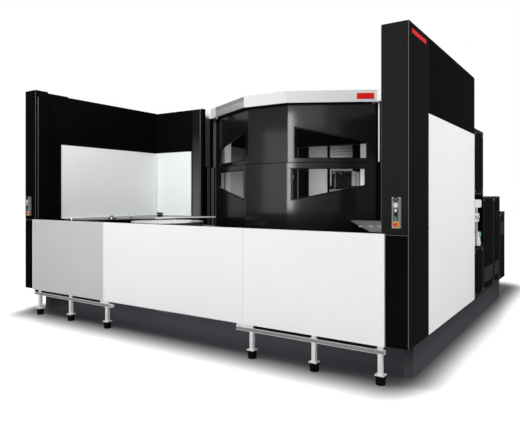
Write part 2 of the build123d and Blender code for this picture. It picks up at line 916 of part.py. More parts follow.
with BuildPart() as spindle:
    nose_back = y_at(quill_front) - running_gap
    nose_plane = Plane((0, nose_back, spindle_home_z), x_dir=(1, 0, 0), z_dir=(0, -1, 0))
    with BuildSketch(nose_plane):
        Circle(nose_radius)
    extrude(amount=nose_length)
    with BuildSketch(nose_plane):
        Circle(nose_radius / 2)
    extrude(amount=-(quill_length - 2 * running_gap))
    with BuildSketch(nose_plane.offset(nose_length)):
        Circle(tool_bore_radius)
    extrude(amount=-tool_bore_depth, taper=tool_bore_taper, mode=Mode.SUBTRACT)
finish(spindle, "spindle")

# Tool magazine: a disc of pots in its own housing on the left
with BuildPart() as tool_magazine:
    disc_plane = Plane((-magazine_x, y_at(magazine_depth), magazine_z), x_dir=(0, 1, 0), z_dir=(-1, 0, 0))
    with BuildSketch(disc_plane):
        Circle(magazine_radius)
    extrude(amount=magazine_disc)
    with BuildSketch(disc_plane):
        with PolarLocations(magazine_radius - pot_radius - pot_edge, pot_count):
            Circle(pot_radius)
    extrude(amount=-pot_length)
    with BuildSketch(disc_plane.offset(magazine_disc)):
        Circle(pot_radius)
    extrude(amount=housing_outer_x - housing_wall - magazine_x - magazine_disc - running_gap)
finish(tool_magazine, "tool_magazine")

with BuildPart() as magazine_housing:
    housing_inner_x = room_half + room_wall
    box_between(
        -housing_outer_x, -housing_inner_x, housing_front, housing_back, housing_bottom, housing_top,
    )
    box_between(
        housing_wall - housing_outer_x, -housing_inner_x,
        housing_front + housing_wall, housing_back - housing_wall,
        housing_bottom + housing_wall, housing_top - housing_wall, mode=Mode.SUBTRACT,
    )
    for depth in (housing_front + housing_leg, housing_back - housing_leg):
        box_between(
            -housing_outer_x, housing_leg - housing_outer_x,
            depth - housing_leg / 2, depth + housing_leg / 2, 0, housing_bottom,
        )
finish(magazine_housing, "magazine_housing")

# Tool changer arm: two open grips on one shaft, in the work room's rear left corner
arm_plane = Plane((-arm_x, y_at(arm_front), arm_z), x_dir=(1, 0, 0), z_dir=(0, -1, 0))
with BuildPart() as tool_arm:
    with BuildSketch(arm_plane):
        Rectangle(arm_reach, arm_grip_radius * 2, align=(Align.MIN, Align.CENTER))
        Rectangle(arm_reach, arm_grip_radius * 2, align=(Align.MAX, Align.CENTER))
        with Locations((arm_reach, 0), (-arm_reach, 0)):
            Circle(arm_grip_radius)
            Circle(arm_grip_radius / 2, mode=Mode.SUBTRACT)
        with Locations((arm_reach, arm_grip_radius / 2), (-arm_reach, -arm_grip_radius / 2)):
            Rectangle(arm_grip_radius, arm_grip_radius, mode=Mode.SUBTRACT)
        Circle(arm_hub_radius)
    extrude(amount=arm_thickness)
    with BuildSketch(arm_plane):
        Circle(arm_shaft_radius)
    extrude(amount=-(arm_shaft_length - running_gap))
finish(tool_arm, "tool_arm")

# Right rear: upper cabinet over a recess with the hydraulic unit, then the electrical cabinet
plinth_inner = cabinet_inner_x + plinth_setback
plinth_outer = half_width - plinth_setback
with BuildPart() as upper_cabinet:
    box_between(
        cabinet_inner_x, half_width, wall_rear, cabinet_front, upper_cabinet_bottom, upper_cabinet_top,
    )
    box_between(
        cabinet_inner_x, cabinet_inner_x + cabinet_back_plate, wall_rear, cabinet_front,
        skirt_bottom, upper_cabinet_bottom,
    )
finish(upper_cabinet, "upper_cabinet")

tank_inner = cabinet_inner_x + cabinet_back_plate
with BuildPart() as hydraulic_unit:
    box_between(tank_inner, half_width, wall_rear, cabinet_front, skirt_bottom, tank_top)
    box_between(plinth_inner, plinth_outer, wall_rear, cabinet_front, 0, skirt_bottom)
    block_outer_x = half_width - manifold_inset
    block_front = wall_rear + manifold_gap
    box_between(
        block_outer_x - manifold_size, block_outer_x, block_front, block_front + manifold_size,
        manifold_bottom, manifold_bottom + manifold_height,
    )
    riser_middle = (
        block_outer_x - manifold_size / 2,
        y_at(block_front + manifold_size / 2),
        (tank_top + manifold_bottom) / 2,
    )
    with Locations(riser_middle):
        Box(riser_width, riser_length, manifold_bottom - tank_top)
    accumulator_place = (half_width - accumulator_inset, y_at(wall_rear + accumulator_depth))
    with BuildSketch(Plane.XY.offset(tank_top)):
        with Locations(accumulator_place):
            Circle(accumulator_radius)
    extrude(amount=accumulator_height)
    with BuildSketch(Plane.XY.offset(tank_top + accumulator_height)):
        with Locations(accumulator_place):
            Circle(filter_radius)
    extrude(amount=filter_height)
finish(hydraulic_unit, "hydraulic_unit")

with BuildPart() as electrical_cabinet:
    box_between(
        cabinet_inner_x, half_width - door_thickness - running_gap,
        cabinet_front, cabinet_back, skirt_bottom, cabinet_top,
    )
    box_between(plinth_inner, plinth_outer, cabinet_front, cabinet_back, 0, skirt_bottom)
finish(electrical_cabinet, "electrical_cabinet")


def cabinet_door(depth0, depth1):
    with BuildPart() as door:
        box_between(
            half_width - door_thickness, half_width, depth0, depth1,
            skirt_bottom + door_seam, cabinet_top - door_seam,
        )
        fillet(door.edges().filter_by(Axis.Z).group_by(Axis.X)[-1], door_seam / 2)
        latch_depth = depth0 + latch_inset if depth0 >= cabinet_door_joint else depth1 - latch_inset
        box_between(
            half_width - latch_recess, half_width,
            latch_depth - latch_width / 2, latch_depth + latch_width / 2,
            latch_z - latch_height / 2, latch_z + latch_height / 2, mode=Mode.SUBTRACT,
        )
        box_between(
            half_width - latch_recess, half_width - door_seam / 2,
            latch_depth - lever_width / 2, latch_depth + lever_width / 2,
            latch_z, latch_z + latch_height / 2 - door_seam,
        )
    return door


cabinet_door_joint = cabinet_front + first_door_length
front_door = cabinet_door(cabinet_front + door_seam / 2, cabinet_door_joint - door_seam / 2)
rear_door = cabinet_door(cabinet_door_joint + door_seam / 2, cabinet_back - door_seam / 2)
finish(front_door, "front_cabinet_door")
finish(rear_door, "rear_cabinet_door")

with BuildPart() as coolant_tank:
    box_between(cabinet_inner_x, half_width, cabinet_back, coolant_back, skirt_bottom, coolant_top)
    box_between(plinth_inner, plinth_outer, cabinet_back, coolant_back - plinth_setback, 0, skirt_bottom)
finish(coolant_tank, "coolant_tank")

# Rear enclosure round the moving column: panels with grooved joints, a service door and louvres
with BuildPart() as rear_enclosure:
    box_between(
        -enclosure_half, enclosure_half, room_rear + room_wall, rear_reach, 0, enclosure_top,
    )
    box_between(
        enclosure_wall - enclosure_half, enclosure_half - enclosure_wall,
        room_rear + room_wall, rear_reach - enclosure_wall, 0, enclosure_top - enclosure_wall,
        mode=Mode.SUBTRACT,
    )
    side_length = rear_reach - room_rear - room_wall
    rear_middle = (0, y_at(rear_reach - panel_groove_depth / 2), enclosure_top / 2)
    with Locations(rear_middle):
        with GridLocations(2 * enclosure_half / rear_panels, 1, rear_panels - 1, 1):
            Box(panel_groove, panel_groove_depth, enclosure_top, mode=Mode.SUBTRACT)
    for side, name in sides:
        side_middle = (
            side * (enclosure_half - panel_groove_depth / 2),
            y_at(rear_reach - side_length / 2),
            enclosure_top / 2,
        )
        with Locations(side_middle):
            with GridLocations(1, side_length / side_panels, 1, side_panels - 1):
                Box(panel_groove_depth, panel_groove, enclosure_top, mode=Mode.SUBTRACT)
    # Service door in the second panel from the left, seen from behind
    door_middle = enclosure_half / rear_panels
    rear_plane = Plane((0, y_at(rear_reach), 0), x_dir=(-1, 0, 0), z_dir=(0, 1, 0))
    with BuildSketch(rear_plane):
        with Locations((-door_middle, (service_door_bottom + service_door_top) / 2)):
            Rectangle(service_door_width, service_door_top - service_door_bottom)
            Rectangle(
                service_door_width - 2 * panel_groove,
                service_door_top - service_door_bottom - 2 * panel_groove, mode=Mode.SUBTRACT,
            )
    extrude(amount=-panel_groove_depth, mode=Mode.SUBTRACT)
    with BuildSketch(rear_plane):
        with Locations((-door_middle - service_door_width / 2 + latch_height, latch_z)):
            Rectangle(latch_width, latch_height)
        with Locations((door_middle, louvre_z), (-door_middle, louvre_z)):
            with GridLocations(1, louvre_pitch, 1, louvres):
                Rectangle(louvre_width, louvre_height)
    extrude(amount=-louvre_depth, mode=Mode.SUBTRACT)
finish(rear_enclosure, "rear_enclosure")

# Button stations on the column faces
button_levels = {
    "white_button": white_button_z,
    "black_button": black_button_z,
    "green_button": green_button_z,
}
for side, name in sides:
    x = side * station_x
    face = Plane((x, y_at(-station_depth), 0), x_dir=(1, 0, 0), z_dir=(0, -1, 0))
    with BuildPart() as station_box:
        box_between(
            x - station_width / 2, x + station_width / 2, -station_depth, 0, station_bottom, station_top,
        )
        fillet(station_box.edges().filter_by(Axis.Z).group_by(Axis.Y)[0], station_sheet)
        box_between(
            x - station_width / 2 + station_sheet, x + station_width / 2 - station_sheet,
            station_sheet - station_depth, 0,
            station_bottom + station_sheet, station_top - station_sheet, mode=Mode.SUBTRACT,
        )
        with BuildSketch(face):
            for z in (selector_z, white_button_z, black_button_z, green_button_z, stop_z):
                with Locations((0, z)):
                    Circle(stem_radius + running_gap)
        extrude(amount=-station_sheet, mode=Mode.SUBTRACT)
        with BuildSketch(face):
            with Locations((0, stop_z)):
                Circle(stop_collar_radius)
                Circle(stem_radius + running_gap, mode=Mode.SUBTRACT)
        extrude(amount=stop_collar_depth)
        with BuildSketch(face):
            with Locations((0, lamp_z)):
                Circle(lamp_radius)
        extrude(amount=button_reach)
    finish(station_box, name + "_button_station")

    for button, z in button_levels.items():
        with BuildPart() as push_button:
            with BuildSketch(face.offset(button_lift)):
                with Locations((0, z)):
                    Circle(button_radius)
            extrude(amount=button_reach - button_lift)
            with BuildSketch(face.offset(button_lift)):
                with Locations((0, z)):
                    Circle(stem_radius)
            extrude(amount=-stem_length)
        finish(push_button, name + "_" + button)

    with BuildPart() as selector:
        with BuildSketch(face.offset(running_gap)):
            with Locations((0, selector_z)):
                Circle(button_radius + selector_rim)
        extrude(amount=button_lift)
        with BuildSketch(face.offset(button_lift)):
            with Locations((0, selector_z)):
                Rectangle(button_radius / 2, button_radius * 2)
        extrude(amount=button_reach)
        with BuildSketch(face.offset(running_gap)):
            with Locations((0, selector_z)):
                Circle(stem_radius)
        extrude(amount=-stem_length)
    finish(selector, name + "_selector")

    with BuildPart() as emergency_stop:
        with BuildSketch(face.offset(stop_collar_depth + button_lift)):
            with Locations((0, stop_z)):
                Circle(stop_radius)
        extrude(amount=front_reach - station_depth - stop_collar_depth - button_lift)
        fillet(emergency_stop.edges().group_by(Axis.Y)[0], stop_radius / 4)
        with BuildSketch(face.offset(stop_collar_depth + button_lift)):
            with Locations((0, stop_z)):
                Circle(stem_radius)
        extrude(amount=-stem_length)
    finish(emergency_stop, name + "_emergency_stop")
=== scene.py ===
import json
import math

import bmesh
import bpy
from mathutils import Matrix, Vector


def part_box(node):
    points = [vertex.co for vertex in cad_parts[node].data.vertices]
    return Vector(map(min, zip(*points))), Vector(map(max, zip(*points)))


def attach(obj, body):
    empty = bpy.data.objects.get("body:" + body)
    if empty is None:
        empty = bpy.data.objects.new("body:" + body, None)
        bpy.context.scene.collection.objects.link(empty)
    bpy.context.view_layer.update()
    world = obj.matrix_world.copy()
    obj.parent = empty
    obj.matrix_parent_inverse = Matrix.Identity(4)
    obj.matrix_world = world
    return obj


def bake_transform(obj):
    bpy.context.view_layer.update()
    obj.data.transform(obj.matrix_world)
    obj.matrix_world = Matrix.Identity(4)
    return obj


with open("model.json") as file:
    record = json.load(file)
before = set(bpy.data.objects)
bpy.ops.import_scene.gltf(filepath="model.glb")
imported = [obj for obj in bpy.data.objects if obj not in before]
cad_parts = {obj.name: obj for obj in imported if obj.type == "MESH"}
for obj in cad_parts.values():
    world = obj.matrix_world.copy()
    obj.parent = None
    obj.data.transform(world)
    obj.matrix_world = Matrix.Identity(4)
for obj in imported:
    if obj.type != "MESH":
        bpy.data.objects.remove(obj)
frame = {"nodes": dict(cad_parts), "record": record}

# Twin-station machining center: satin black and white sheet-metal guard, silver header,
# steel work room behind trapezoid windows. The scene is in metres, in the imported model's own
# frame. Pieces are drawn in millimetres, from the places that at() and on_face() give.

up = Vector((0, 0, 1))
front = Vector((0, -1, 0))
rear = Vector((0, 1, 0))
right = Vector((1, 0, 0))
sides = ((-1, "left"), (1, "right"))

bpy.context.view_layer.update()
column_face_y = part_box("right_column_upper_cover")[0].y
half_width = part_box("right_outer_panel")[1].x

# The bay: its angled faces, half its centre face, the depths of that face and of the far ends, and
# how far the lower and the upper door leaf stand back from the header's faces
bay_angle = math.radians(28.7)
corner_shift = math.tan(bay_angle / 2)
bay_centre_half = 420
bay_front = 2297
bay_side = 2986
face_length = 1252
lower_setback = 40
upper_setback = 95

# Heights, from the work room's floor upward; the last are the ends of the column's sheets
room_floor = 1020
sill_top = 1166
deck_top = 1490
wall_low = 1492
leaf_joint = 2430
liner_top = 2747
guide_top = 3388
header_bottom = 3392
cover_top = 3585
column_sheets = (1090, 3345)

# Depths inside the work room: the rear wall's face, the bellows, the back of the head's top unit
rear_wall = 5199.5
bellows_depth = 5352
head_back = 5309

# Planes of the flush faces; lines on them rise so little that they end 0.4 mm outside the CAD's box
flush_x = 3174.2
flush_depth = 6949.2
line_rise = right * 0.0012


def at(x, depth, z):
    """A place in millimetres: across, behind the column faces, above the floor."""
    return Vector((x / 1000, column_face_y + depth / 1000, z / 1000))


def on_face(side, along, z, setback=0.0, out=0.0):
    """A place on an angled face of the bay: along it from the centre face, set back, then out from it."""
    x = bay_centre_half - setback * corner_shift + along * math.cos(bay_angle) + out * math.sin(bay_angle)
    depth = bay_front + setback + along * math.sin(bay_angle) - out * math.cos(bay_angle)
    return at(side * x, depth, z)


def rectangle(first, second, inset=0.0):
    """The corners of a rectangle from its two ranges, moved in on all sides."""
    a, b = first[0] + inset, first[1] - inset
    c, d = second[0] + inset, second[1] - inset
    return [(a, c), (b, c), (b, d), (a, d)]


def circle(count, offset=0.0):
    """Directions that share out a full turn, as cosine and sine."""
    turns = [2 * math.pi * (k + offset) / count for k in range(count)]
    return [(math.cos(turn), math.sin(turn)) for turn in turns]


def offset_outline(outline, amount):
    """A flat outline moved outward, its corners mitred."""
    corners = [Vector(corner) for corner in outline]
    before, after = corners[-1:] + corners[:-1], corners[1:] + corners[:1]
    turn = 1 if sum(a.cross(b) for a, b in zip(corners, after)) > 0 else -1
    moved = []
    for last, corner, following in zip(before, corners, after):
        edges = (corner - last).normalized(), (following - corner).normalized()
        first, second = [Vector((edge.y, -edge.x)) * turn for edge in edges]
        moved.append(corner + (first + second) * (amount / (1 + first.dot(second))))
    return moved


# Shader fields and finishes

class Field:
    """A value or colour that varies over a surface, written with plain operators."""

    def __init__(self, finish, socket):
        self.finish = finish
        self.socket = socket

    def apply(self, operation, *values):
        return self.finish.node("ShaderNodeMath", {"operation": operation}, dict(enumerate(values)))

    def __add__(self, other):
        return self.apply("ADD", self, other)

    def __sub__(self, other):
        return self.apply("SUBTRACT", self, other)

    def __rsub__(self, other):
        return self.apply("SUBTRACT", other, self)

    def __mul__(self, other):
        return self.apply("MULTIPLY", self, other)

    __radd__ = __add__
    __rmul__ = __mul__

    def power(self, exponent):
        return self.apply("POWER", self, exponent)

    def clamped(self):
        return self.apply("MINIMUM", self.apply("MAXIMUM", self, 0.0), 1.0)


def rgba(tone):
    return tone if isinstance(tone, Field) else (*tone, 1.0)


def dimmed(tone, factor):
    return tuple(factor * part for part in tone)


class Finish:
    """A surface finish: a principled shader and the nodes that feed it."""

    def __init__(self, name, **sockets):
        self.material = bpy.data.materials.new(name)
        self.material.use_nodes = True
        self.tree = self.material.node_tree
        self.tree.nodes.clear()
        self.shader = self.tree.nodes.new("ShaderNodeBsdfPrincipled")
        output = self.tree.nodes.new("ShaderNodeOutputMaterial")
        self.tree.links.new(self.shader.outputs[0], output.inputs[0])
        self.set(**sockets)

    def feed(self, socket, value):
        """Gives a socket a field or a constant."""
        if isinstance(value, Field):
            self.tree.links.new(value.socket, socket)
        else:
            socket.default_value = value

    def node(self, kind, settings=None, inputs=None, output=0):
        made = self.tree.nodes.new(kind)
        for name, value in (settings or {}).items():
            setattr(made, name, value)
        for key, value in (inputs or {}).items():
            self.feed(made.inputs[key], value)
        return Field(self, made.outputs[output])

    def set(self, **sockets):
        for name, value in sockets.items():
            self.feed(self.shader.inputs[name.replace("_", " ")], value)

    def vector(self, operation, first, second=(0, 0, 0), output=0):
        return self.node("ShaderNodeVectorMath", {"operation": operation}, {0: first, 1: second}, output)

    def place(self, stretch=(1, 1, 1)):
        """Object coordinates in metres, stretched along the axes."""
        return self.vector("MULTIPLY", self.node("ShaderNodeTexCoord", output=3), stretch)

    def noise(self, scale, detail=2.0, stretch=(1, 1, 1)):
        inputs = {"Vector": self.place(stretch), "Scale": scale, "Detail": detail}
        return self.node("ShaderNodeTexNoise", {}, inputs)

    def height(self):
        """Height above the object's origin in metres."""
        where = self.node("ShaderNodeTexCoord", output=3)
        return self.node("ShaderNodeSeparateXYZ", {}, {0: where}, 2)

    def between(self, value, low, high):
        """0 below low, 1 above high, a straight rise between."""
        inputs = {"Value": value, "From Min": low, "From Max": high}
        return self.node("ShaderNodeMapRange", {"clamp": True}, inputs)

    def blend(self, mask, first, second):
        inputs = {0: mask, 6: rgba(first), 7: rgba(second)}
        return self.node("ShaderNodeMix", {"data_type": "RGBA"}, inputs, 2)

    def bump(self, height, strength, distance):
        inputs = {"Height": height, "Strength": strength, "Distance": distance}
        self.set(Normal=self.node("ShaderNodeBump", {}, inputs))


def powder_coat(name, tone, shade, roughness, painted_low_shading=None, **sockets):
    """Baked powder coat: fine orange peel, faint broad change of tone and gloss.

    The lower-part argument paints light and shade over the coat: from one height to another in metres,
    with the tones at those two heights. On plinths it paints a slate tone that stands for the floor's shadow,
    lighter towards the floor as painted bounce light; on a wall's end it paints light that fades up the wall.
    """
    paint = Finish(name, **sockets)
    broad = paint.noise(0.9, 3.0)
    peel = paint.noise(420.0, 2.0)
    handled = paint.noise(6.0, 4.0, (1, 1, 0.35))
    base = paint.blend(paint.between(broad, 0.3, 0.7), tone, shade)
    # Painted light and shade on the lower part: its tone blends from the low to the high height, then gives
    # way to the coat above.
    if painted_low_shading:
        low, high, low_tone, high_tone = painted_low_shading
        height = paint.height()
        painted_low_light = paint.blend(paint.between(height, low, high), low_tone, high_tone)
        base = paint.blend(paint.between(height, high, high + 0.0008), painted_low_light, base)
    paint.set(
        Base_Color=base,
        Roughness=(broad * 0.08 + handled * 0.06 + (roughness - 0.07)).clamped(),
    )
    paint.bump(peel, 0.35, 0.00012)
    return paint.material


def brushed_sheet(name, tone, shade, roughness, along, metallic=1.0):
    """Brushed or ground metal with its grain along one axis."""
    metal = Finish(name, Metallic=metallic)
    stretch = tuple(1.0 if letter == along else 40.0 for letter in "XYZ")
    grain = metal.noise(12.0, 6.0, stretch)
    cloud = metal.noise(1.6, 3.0)
    metal.set(
        Base_Color=metal.blend((grain * 0.5 + cloud * 0.5).clamped(), tone, shade),
        Roughness=(grain * 0.18 + cloud * 0.1 + (roughness - 0.14)).clamped(),
    )
    metal.bump(grain, 0.2, 0.0002)
    return metal.material


def textured(name, tone, shade, soil, texture, roughness, relief, spread=(0.0, 1.0), **sockets):
    """A fine-grained skin.

    soil is the noise that shifts its tone, over a spread of values. texture is the noise behind its
    roughness (a share and a base) and its bump (strength and distance).
    """
    skin = Finish(name, **sockets)
    fine = skin.noise(*texture)
    skin.set(
        Base_Color=skin.blend(skin.between(skin.noise(*soil), *spread), tone, shade),
        Roughness=(fine * roughness[0] + roughness[1]).clamped(),
    )
    skin.bump(fine, *relief)
    return skin.material


def moulded(name, tone, roughness, **sockets):
    """Moulded plastic with a fine even texture."""
    shade, rough = dimmed(tone, 0.82), (0.1, roughness - 0.05)
    return textured(name, tone, shade, (40.0, 3.0), (900.0, 2.0), rough, (0.2, 0.00005), **sockets)


def rubber(name):
    """Black rubber, slightly dusty."""
    return textured(
        name, (0.0022, 0.0022, 0.0022), (0.005, 0.0048, 0.0046), (30.0, 5.0), (300.0, 2.0),
        (0.2, 0.55), (0.4, 0.0003), Specular_IOR_Level=0.04,
    )


def pleated_cloth(name, tone, shade, sheen):
    """Coated bellows cloth: woven ribs under a matt coating."""
    return textured(
        name, tone, shade, (4.0, 5.0), (700.0, 2.0, (1, 1, 0.2)),
        (0.15, 0.5), (0.4, 0.0003), Specular_IOR_Level=sheen,
    )


def clear_pane(name):
    """Polycarbonate pane: clear, faintly smoked, with soft smears."""
    pane = Finish(name, Base_Color=(0.004, 0.004, 0.004, 1.0), Metallic=0.0, Specular_IOR_Level=0.02)
    smear = pane.noise(3.0, 5.0, (1, 1, 0.4))
    pane.set(
        Roughness=(smear * 0.1 + 0.02).clamped(),
        Alpha=(smear * 0.08 + 0.2).clamped(),
    )
    return pane.material


def glowing(name, tone, strength, painted_shade_above=None):
    """Lamp cover: frosted plastic lit from inside, dimmer where it has dust, and dimmer above a height as
    painted shade.
    """
    cover = Finish(name, Emission_Strength=strength)
    dust = cover.noise(9.0, 4.0)
    lit = cover.blend(dust, tone, dimmed(tone, 0.8))
    glow = lit
    # Painted shade: the glow dims above the given height.
    if painted_shade_above:
        shade_mask = cover.between(cover.height(), painted_shade_above, painted_shade_above + 0.8)
        glow = cover.blend(shade_mask, lit, dimmed(tone, 0.62))
    cover.set(Base_Color=lit, Emission_Color=glow, Roughness=(dust * 0.2 + 0.35).clamped())
    return cover.material


# Coats. The blacks are deeper than plain paint and reflect very little, as in the photo.
deep_black = ((0.0024, 0.0022, 0.0019), (0.0034, 0.0031, 0.0027))
# Below 0.379 m the black is painted slate grey, standing for the shadow round the plinths, and lighter
# towards the floor as painted bounce light.
black = powder_coat(
    "black_coat_painted_plinth_shade", *deep_black, 0.6,
    painted_low_shading=(0.0, 0.379, (0.085, 0.087, 0.093), (0.036, 0.038, 0.043)),
    Specular_IOR_Level=0.002,
)
plain_black = powder_coat("plain_black_powder_coat", *deep_black, 0.6, Specular_IOR_Level=0.002)
# The left back wall's end: painted light, pale at 1.5 m and fading up to near black at 3.1 m.
wall_end_lit_coat = powder_coat(
    "wall_end_painted_light_coat", (0.006, 0.0057, 0.005), (0.008, 0.0076, 0.0068), 0.5,
    painted_low_shading=(1.5, 3.1, (0.115, 0.115, 0.11), (0.007, 0.0067, 0.006)),
    Specular_IOR_Level=0.02,
)
door_black = powder_coat(
    "door_powder_coat", (0.004, 0.0037, 0.0033), (0.0056, 0.0052, 0.0046), 0.24,
    Specular_IOR_Level=0.07, Coat_Weight=0.22, Coat_Roughness=0.085,
)
column_black = powder_coat(
    "column_powder_coat", (0.003, 0.0028, 0.0025), (0.0044, 0.0041, 0.0036), 0.52,
    Specular_IOR_Level=0.004,
)
# Grey a little above the blacks: the joint and louvre lines on the right face, painted highlights along their
# edges.
joint_highlight_grey = powder_coat(
    "joint_line_painted_highlight", (0.034, 0.033, 0.031), (0.042, 0.041, 0.038), 0.45, Specular_IOR_Level=0.05,
)
white = powder_coat("white_powder_coat", (0.81, 0.82, 0.82), (0.79, 0.8, 0.8), 0.46)
# The left tray is the white coat darkened: painted shade.
shaded_tray_white = powder_coat("left_tray_painted_shade_coat", (0.51, 0.52, 0.52), (0.485, 0.495, 0.495), 0.46)
liner = powder_coat("liner_powder_coat", (0.82, 0.835, 0.84), (0.79, 0.805, 0.81), 0.42)
silver = powder_coat("silver_header_paint", (0.56, 0.565, 0.56), (0.53, 0.535, 0.53), 0.4)
# Grey for the header's left angled face, darker than the header as painted shade, and for the painted shadow
# lines in the liners' corners.
shaded_vent_grey = powder_coat("header_vent_painted_shade_grey", (0.27, 0.275, 0.27), (0.23, 0.235, 0.23), 0.42)
# Darker grey for the bands of the header's left angled face: painted shade where that face turns from the
# light.
left_face_shade_grey = powder_coat("header_left_face_painted_shade", (0.16, 0.16, 0.155), (0.13, 0.13, 0.125), 0.42)
# Grey well above the blacks: painted highlights along folds, edges and panel joints; it also draws the left
# door guide darker than the steel right one.
edge_highlight_grey = powder_coat("fold_edge_painted_highlight", (0.075, 0.073, 0.068), (0.06, 0.058, 0.054), 0.4)
deck_grey = powder_coat("deck_grey_paint", (0.2, 0.2, 0.2), (0.17, 0.17, 0.17), 0.4)
stand_white = powder_coat("stand_paint", (0.74, 0.75, 0.75), (0.66, 0.67, 0.67), 0.38)
# Grey for the rails' webs: painted shade in the channel.
stand_shade = powder_coat("stand_recess_painted_shade", (0.24, 0.245, 0.25), (0.19, 0.195, 0.2), 0.4)
scraper_white = powder_coat("scraper_strip_enamel", (0.8, 0.81, 0.81), (0.76, 0.77, 0.77), 0.3)

# Metals
room_steel = brushed_sheet("work_room_steel", (0.52, 0.53, 0.53), (0.4, 0.41, 0.41), 0.4, "Z", 0.45)
ground_steel = brushed_sheet("ground_steel", (0.6, 0.61, 0.62), (0.48, 0.49, 0.5), 0.3, "X", 0.75)
guide_steel = brushed_sheet("guide_steel", (0.66, 0.67, 0.68), (0.54, 0.55, 0.56), 0.32, "Z", 0.6)
shield_steel = brushed_sheet("shield_steel", (0.74, 0.75, 0.76), (0.62, 0.63, 0.64), 0.42, "Z", 0.25)
plate_steel = brushed_sheet("station_plate_steel", (0.21, 0.215, 0.21), (0.17, 0.175, 0.17), 0.42, "Z", 0.2)
# One steel for the drum in two copies: dark on its side as painted shade, bright on its top as painted light.
shaded_drum_side_steel = brushed_sheet("fixture_side_painted_shade_steel", (0.2, 0.2, 0.2), (0.09, 0.09, 0.09), 0.3, "Z", 0.8)
lit_drum_top_steel = brushed_sheet("fixture_top_painted_light_steel", (0.9, 0.9, 0.9), (0.84, 0.84, 0.84), 0.28, "X", 0.85)
chrome = brushed_sheet("chrome_fitting", (0.8, 0.8, 0.82), (0.72, 0.72, 0.74), 0.2, "Y")

# Cast iron: sandy skin under thick enamel
iron_paint = textured(
    "casting_enamel", (0.24, 0.245, 0.25), (0.18, 0.185, 0.19), (2.2, 5.0), (160.0, 5.0),
    (0.15, 0.38), (0.5, 0.0006), (0.35, 0.65),
)

# Rubber, cloth, plastics and lamp covers
foot_rubber = rubber("foot_rubber")
seal_rubber = rubber("window_seal_rubber")
bellows_cloth = pleated_cloth("bellows_cloth", (0.0008, 0.0008, 0.0008), (0.0016, 0.0016, 0.0015), 0.01)
slot_cloth = pleated_cloth("slot_cover_cloth", (0.55, 0.55, 0.54), (0.7, 0.7, 0.69), 0.5)
clear = clear_pane("door_pane")
red = moulded("red_plastic", (0.62, 0.022, 0.018), 0.3)
plate_red = moulded("red_name_plate", (0.66, 0.016, 0.016), 0.4, Specular_IOR_Level=0.01)
green = moulded("green_plastic", (0.015, 0.3, 0.14), 0.32)
yellow = moulded("yellow_plastic", (0.78, 0.5, 0.03), 0.36)
pale_plastic = moulded("white_plastic", (0.78, 0.78, 0.75), 0.32)
dark_plastic = moulded("black_plastic", (0.009, 0.009, 0.009), 0.42, Specular_IOR_Level=0.12)
teal = moulded("teal_enamel", (0.05, 0.3, 0.27), 0.34)
# The work lamp's glow is dimmed above 2.2 m as painted shade.
lamp_glow = glowing("work_lamp_cover", (0.8, 0.82, 0.82), 0.75, 2.2)
wall_glow = glowing("wall_lamp_cover", (0.8, 0.82, 0.82), 0.52)
signal_red = glowing("signal_lamp_red", (0.36, 0.02, 0.06), 0.1)

slot_finish = {
    "black_paint": black,
    "white_paint": white,
    "liner_paint": liner,
    "header_paint": silver,
    "room_steel": room_steel,
    "stand_paint": stand_white,
    "foot_rubber": foot_rubber,
    "window_glass": clear,
    "casting": iron_paint,
    "machined_steel": ground_steel,
    "chrome_trim": chrome,
    "deck_paint": deck_grey,
    "station_plate": plate_steel,
    "red_plastic": red,
    "green_plastic": green,
    "white_plastic": pale_plastic,
    "black_plastic": dark_plastic,
}
own_finish = {
    "upper_door": door_black,
    "lower_door": door_black,
    "bay_sill": door_black,
    "right_column_upper_cover": column_black,
    "right_column_lower_cover": column_black,
    "left_front_panel": shaded_tray_white,
    "left_selector": pale_plastic,
    "right_selector": pale_plastic,
}
for entry in frame["record"]["subparts"]:
    slots = frame["nodes"][entry["node"]].data.materials
    slots.clear()
    slots.append(own_finish.get(entry["node"], slot_finish[entry["material_slot"]]))


# Pieces

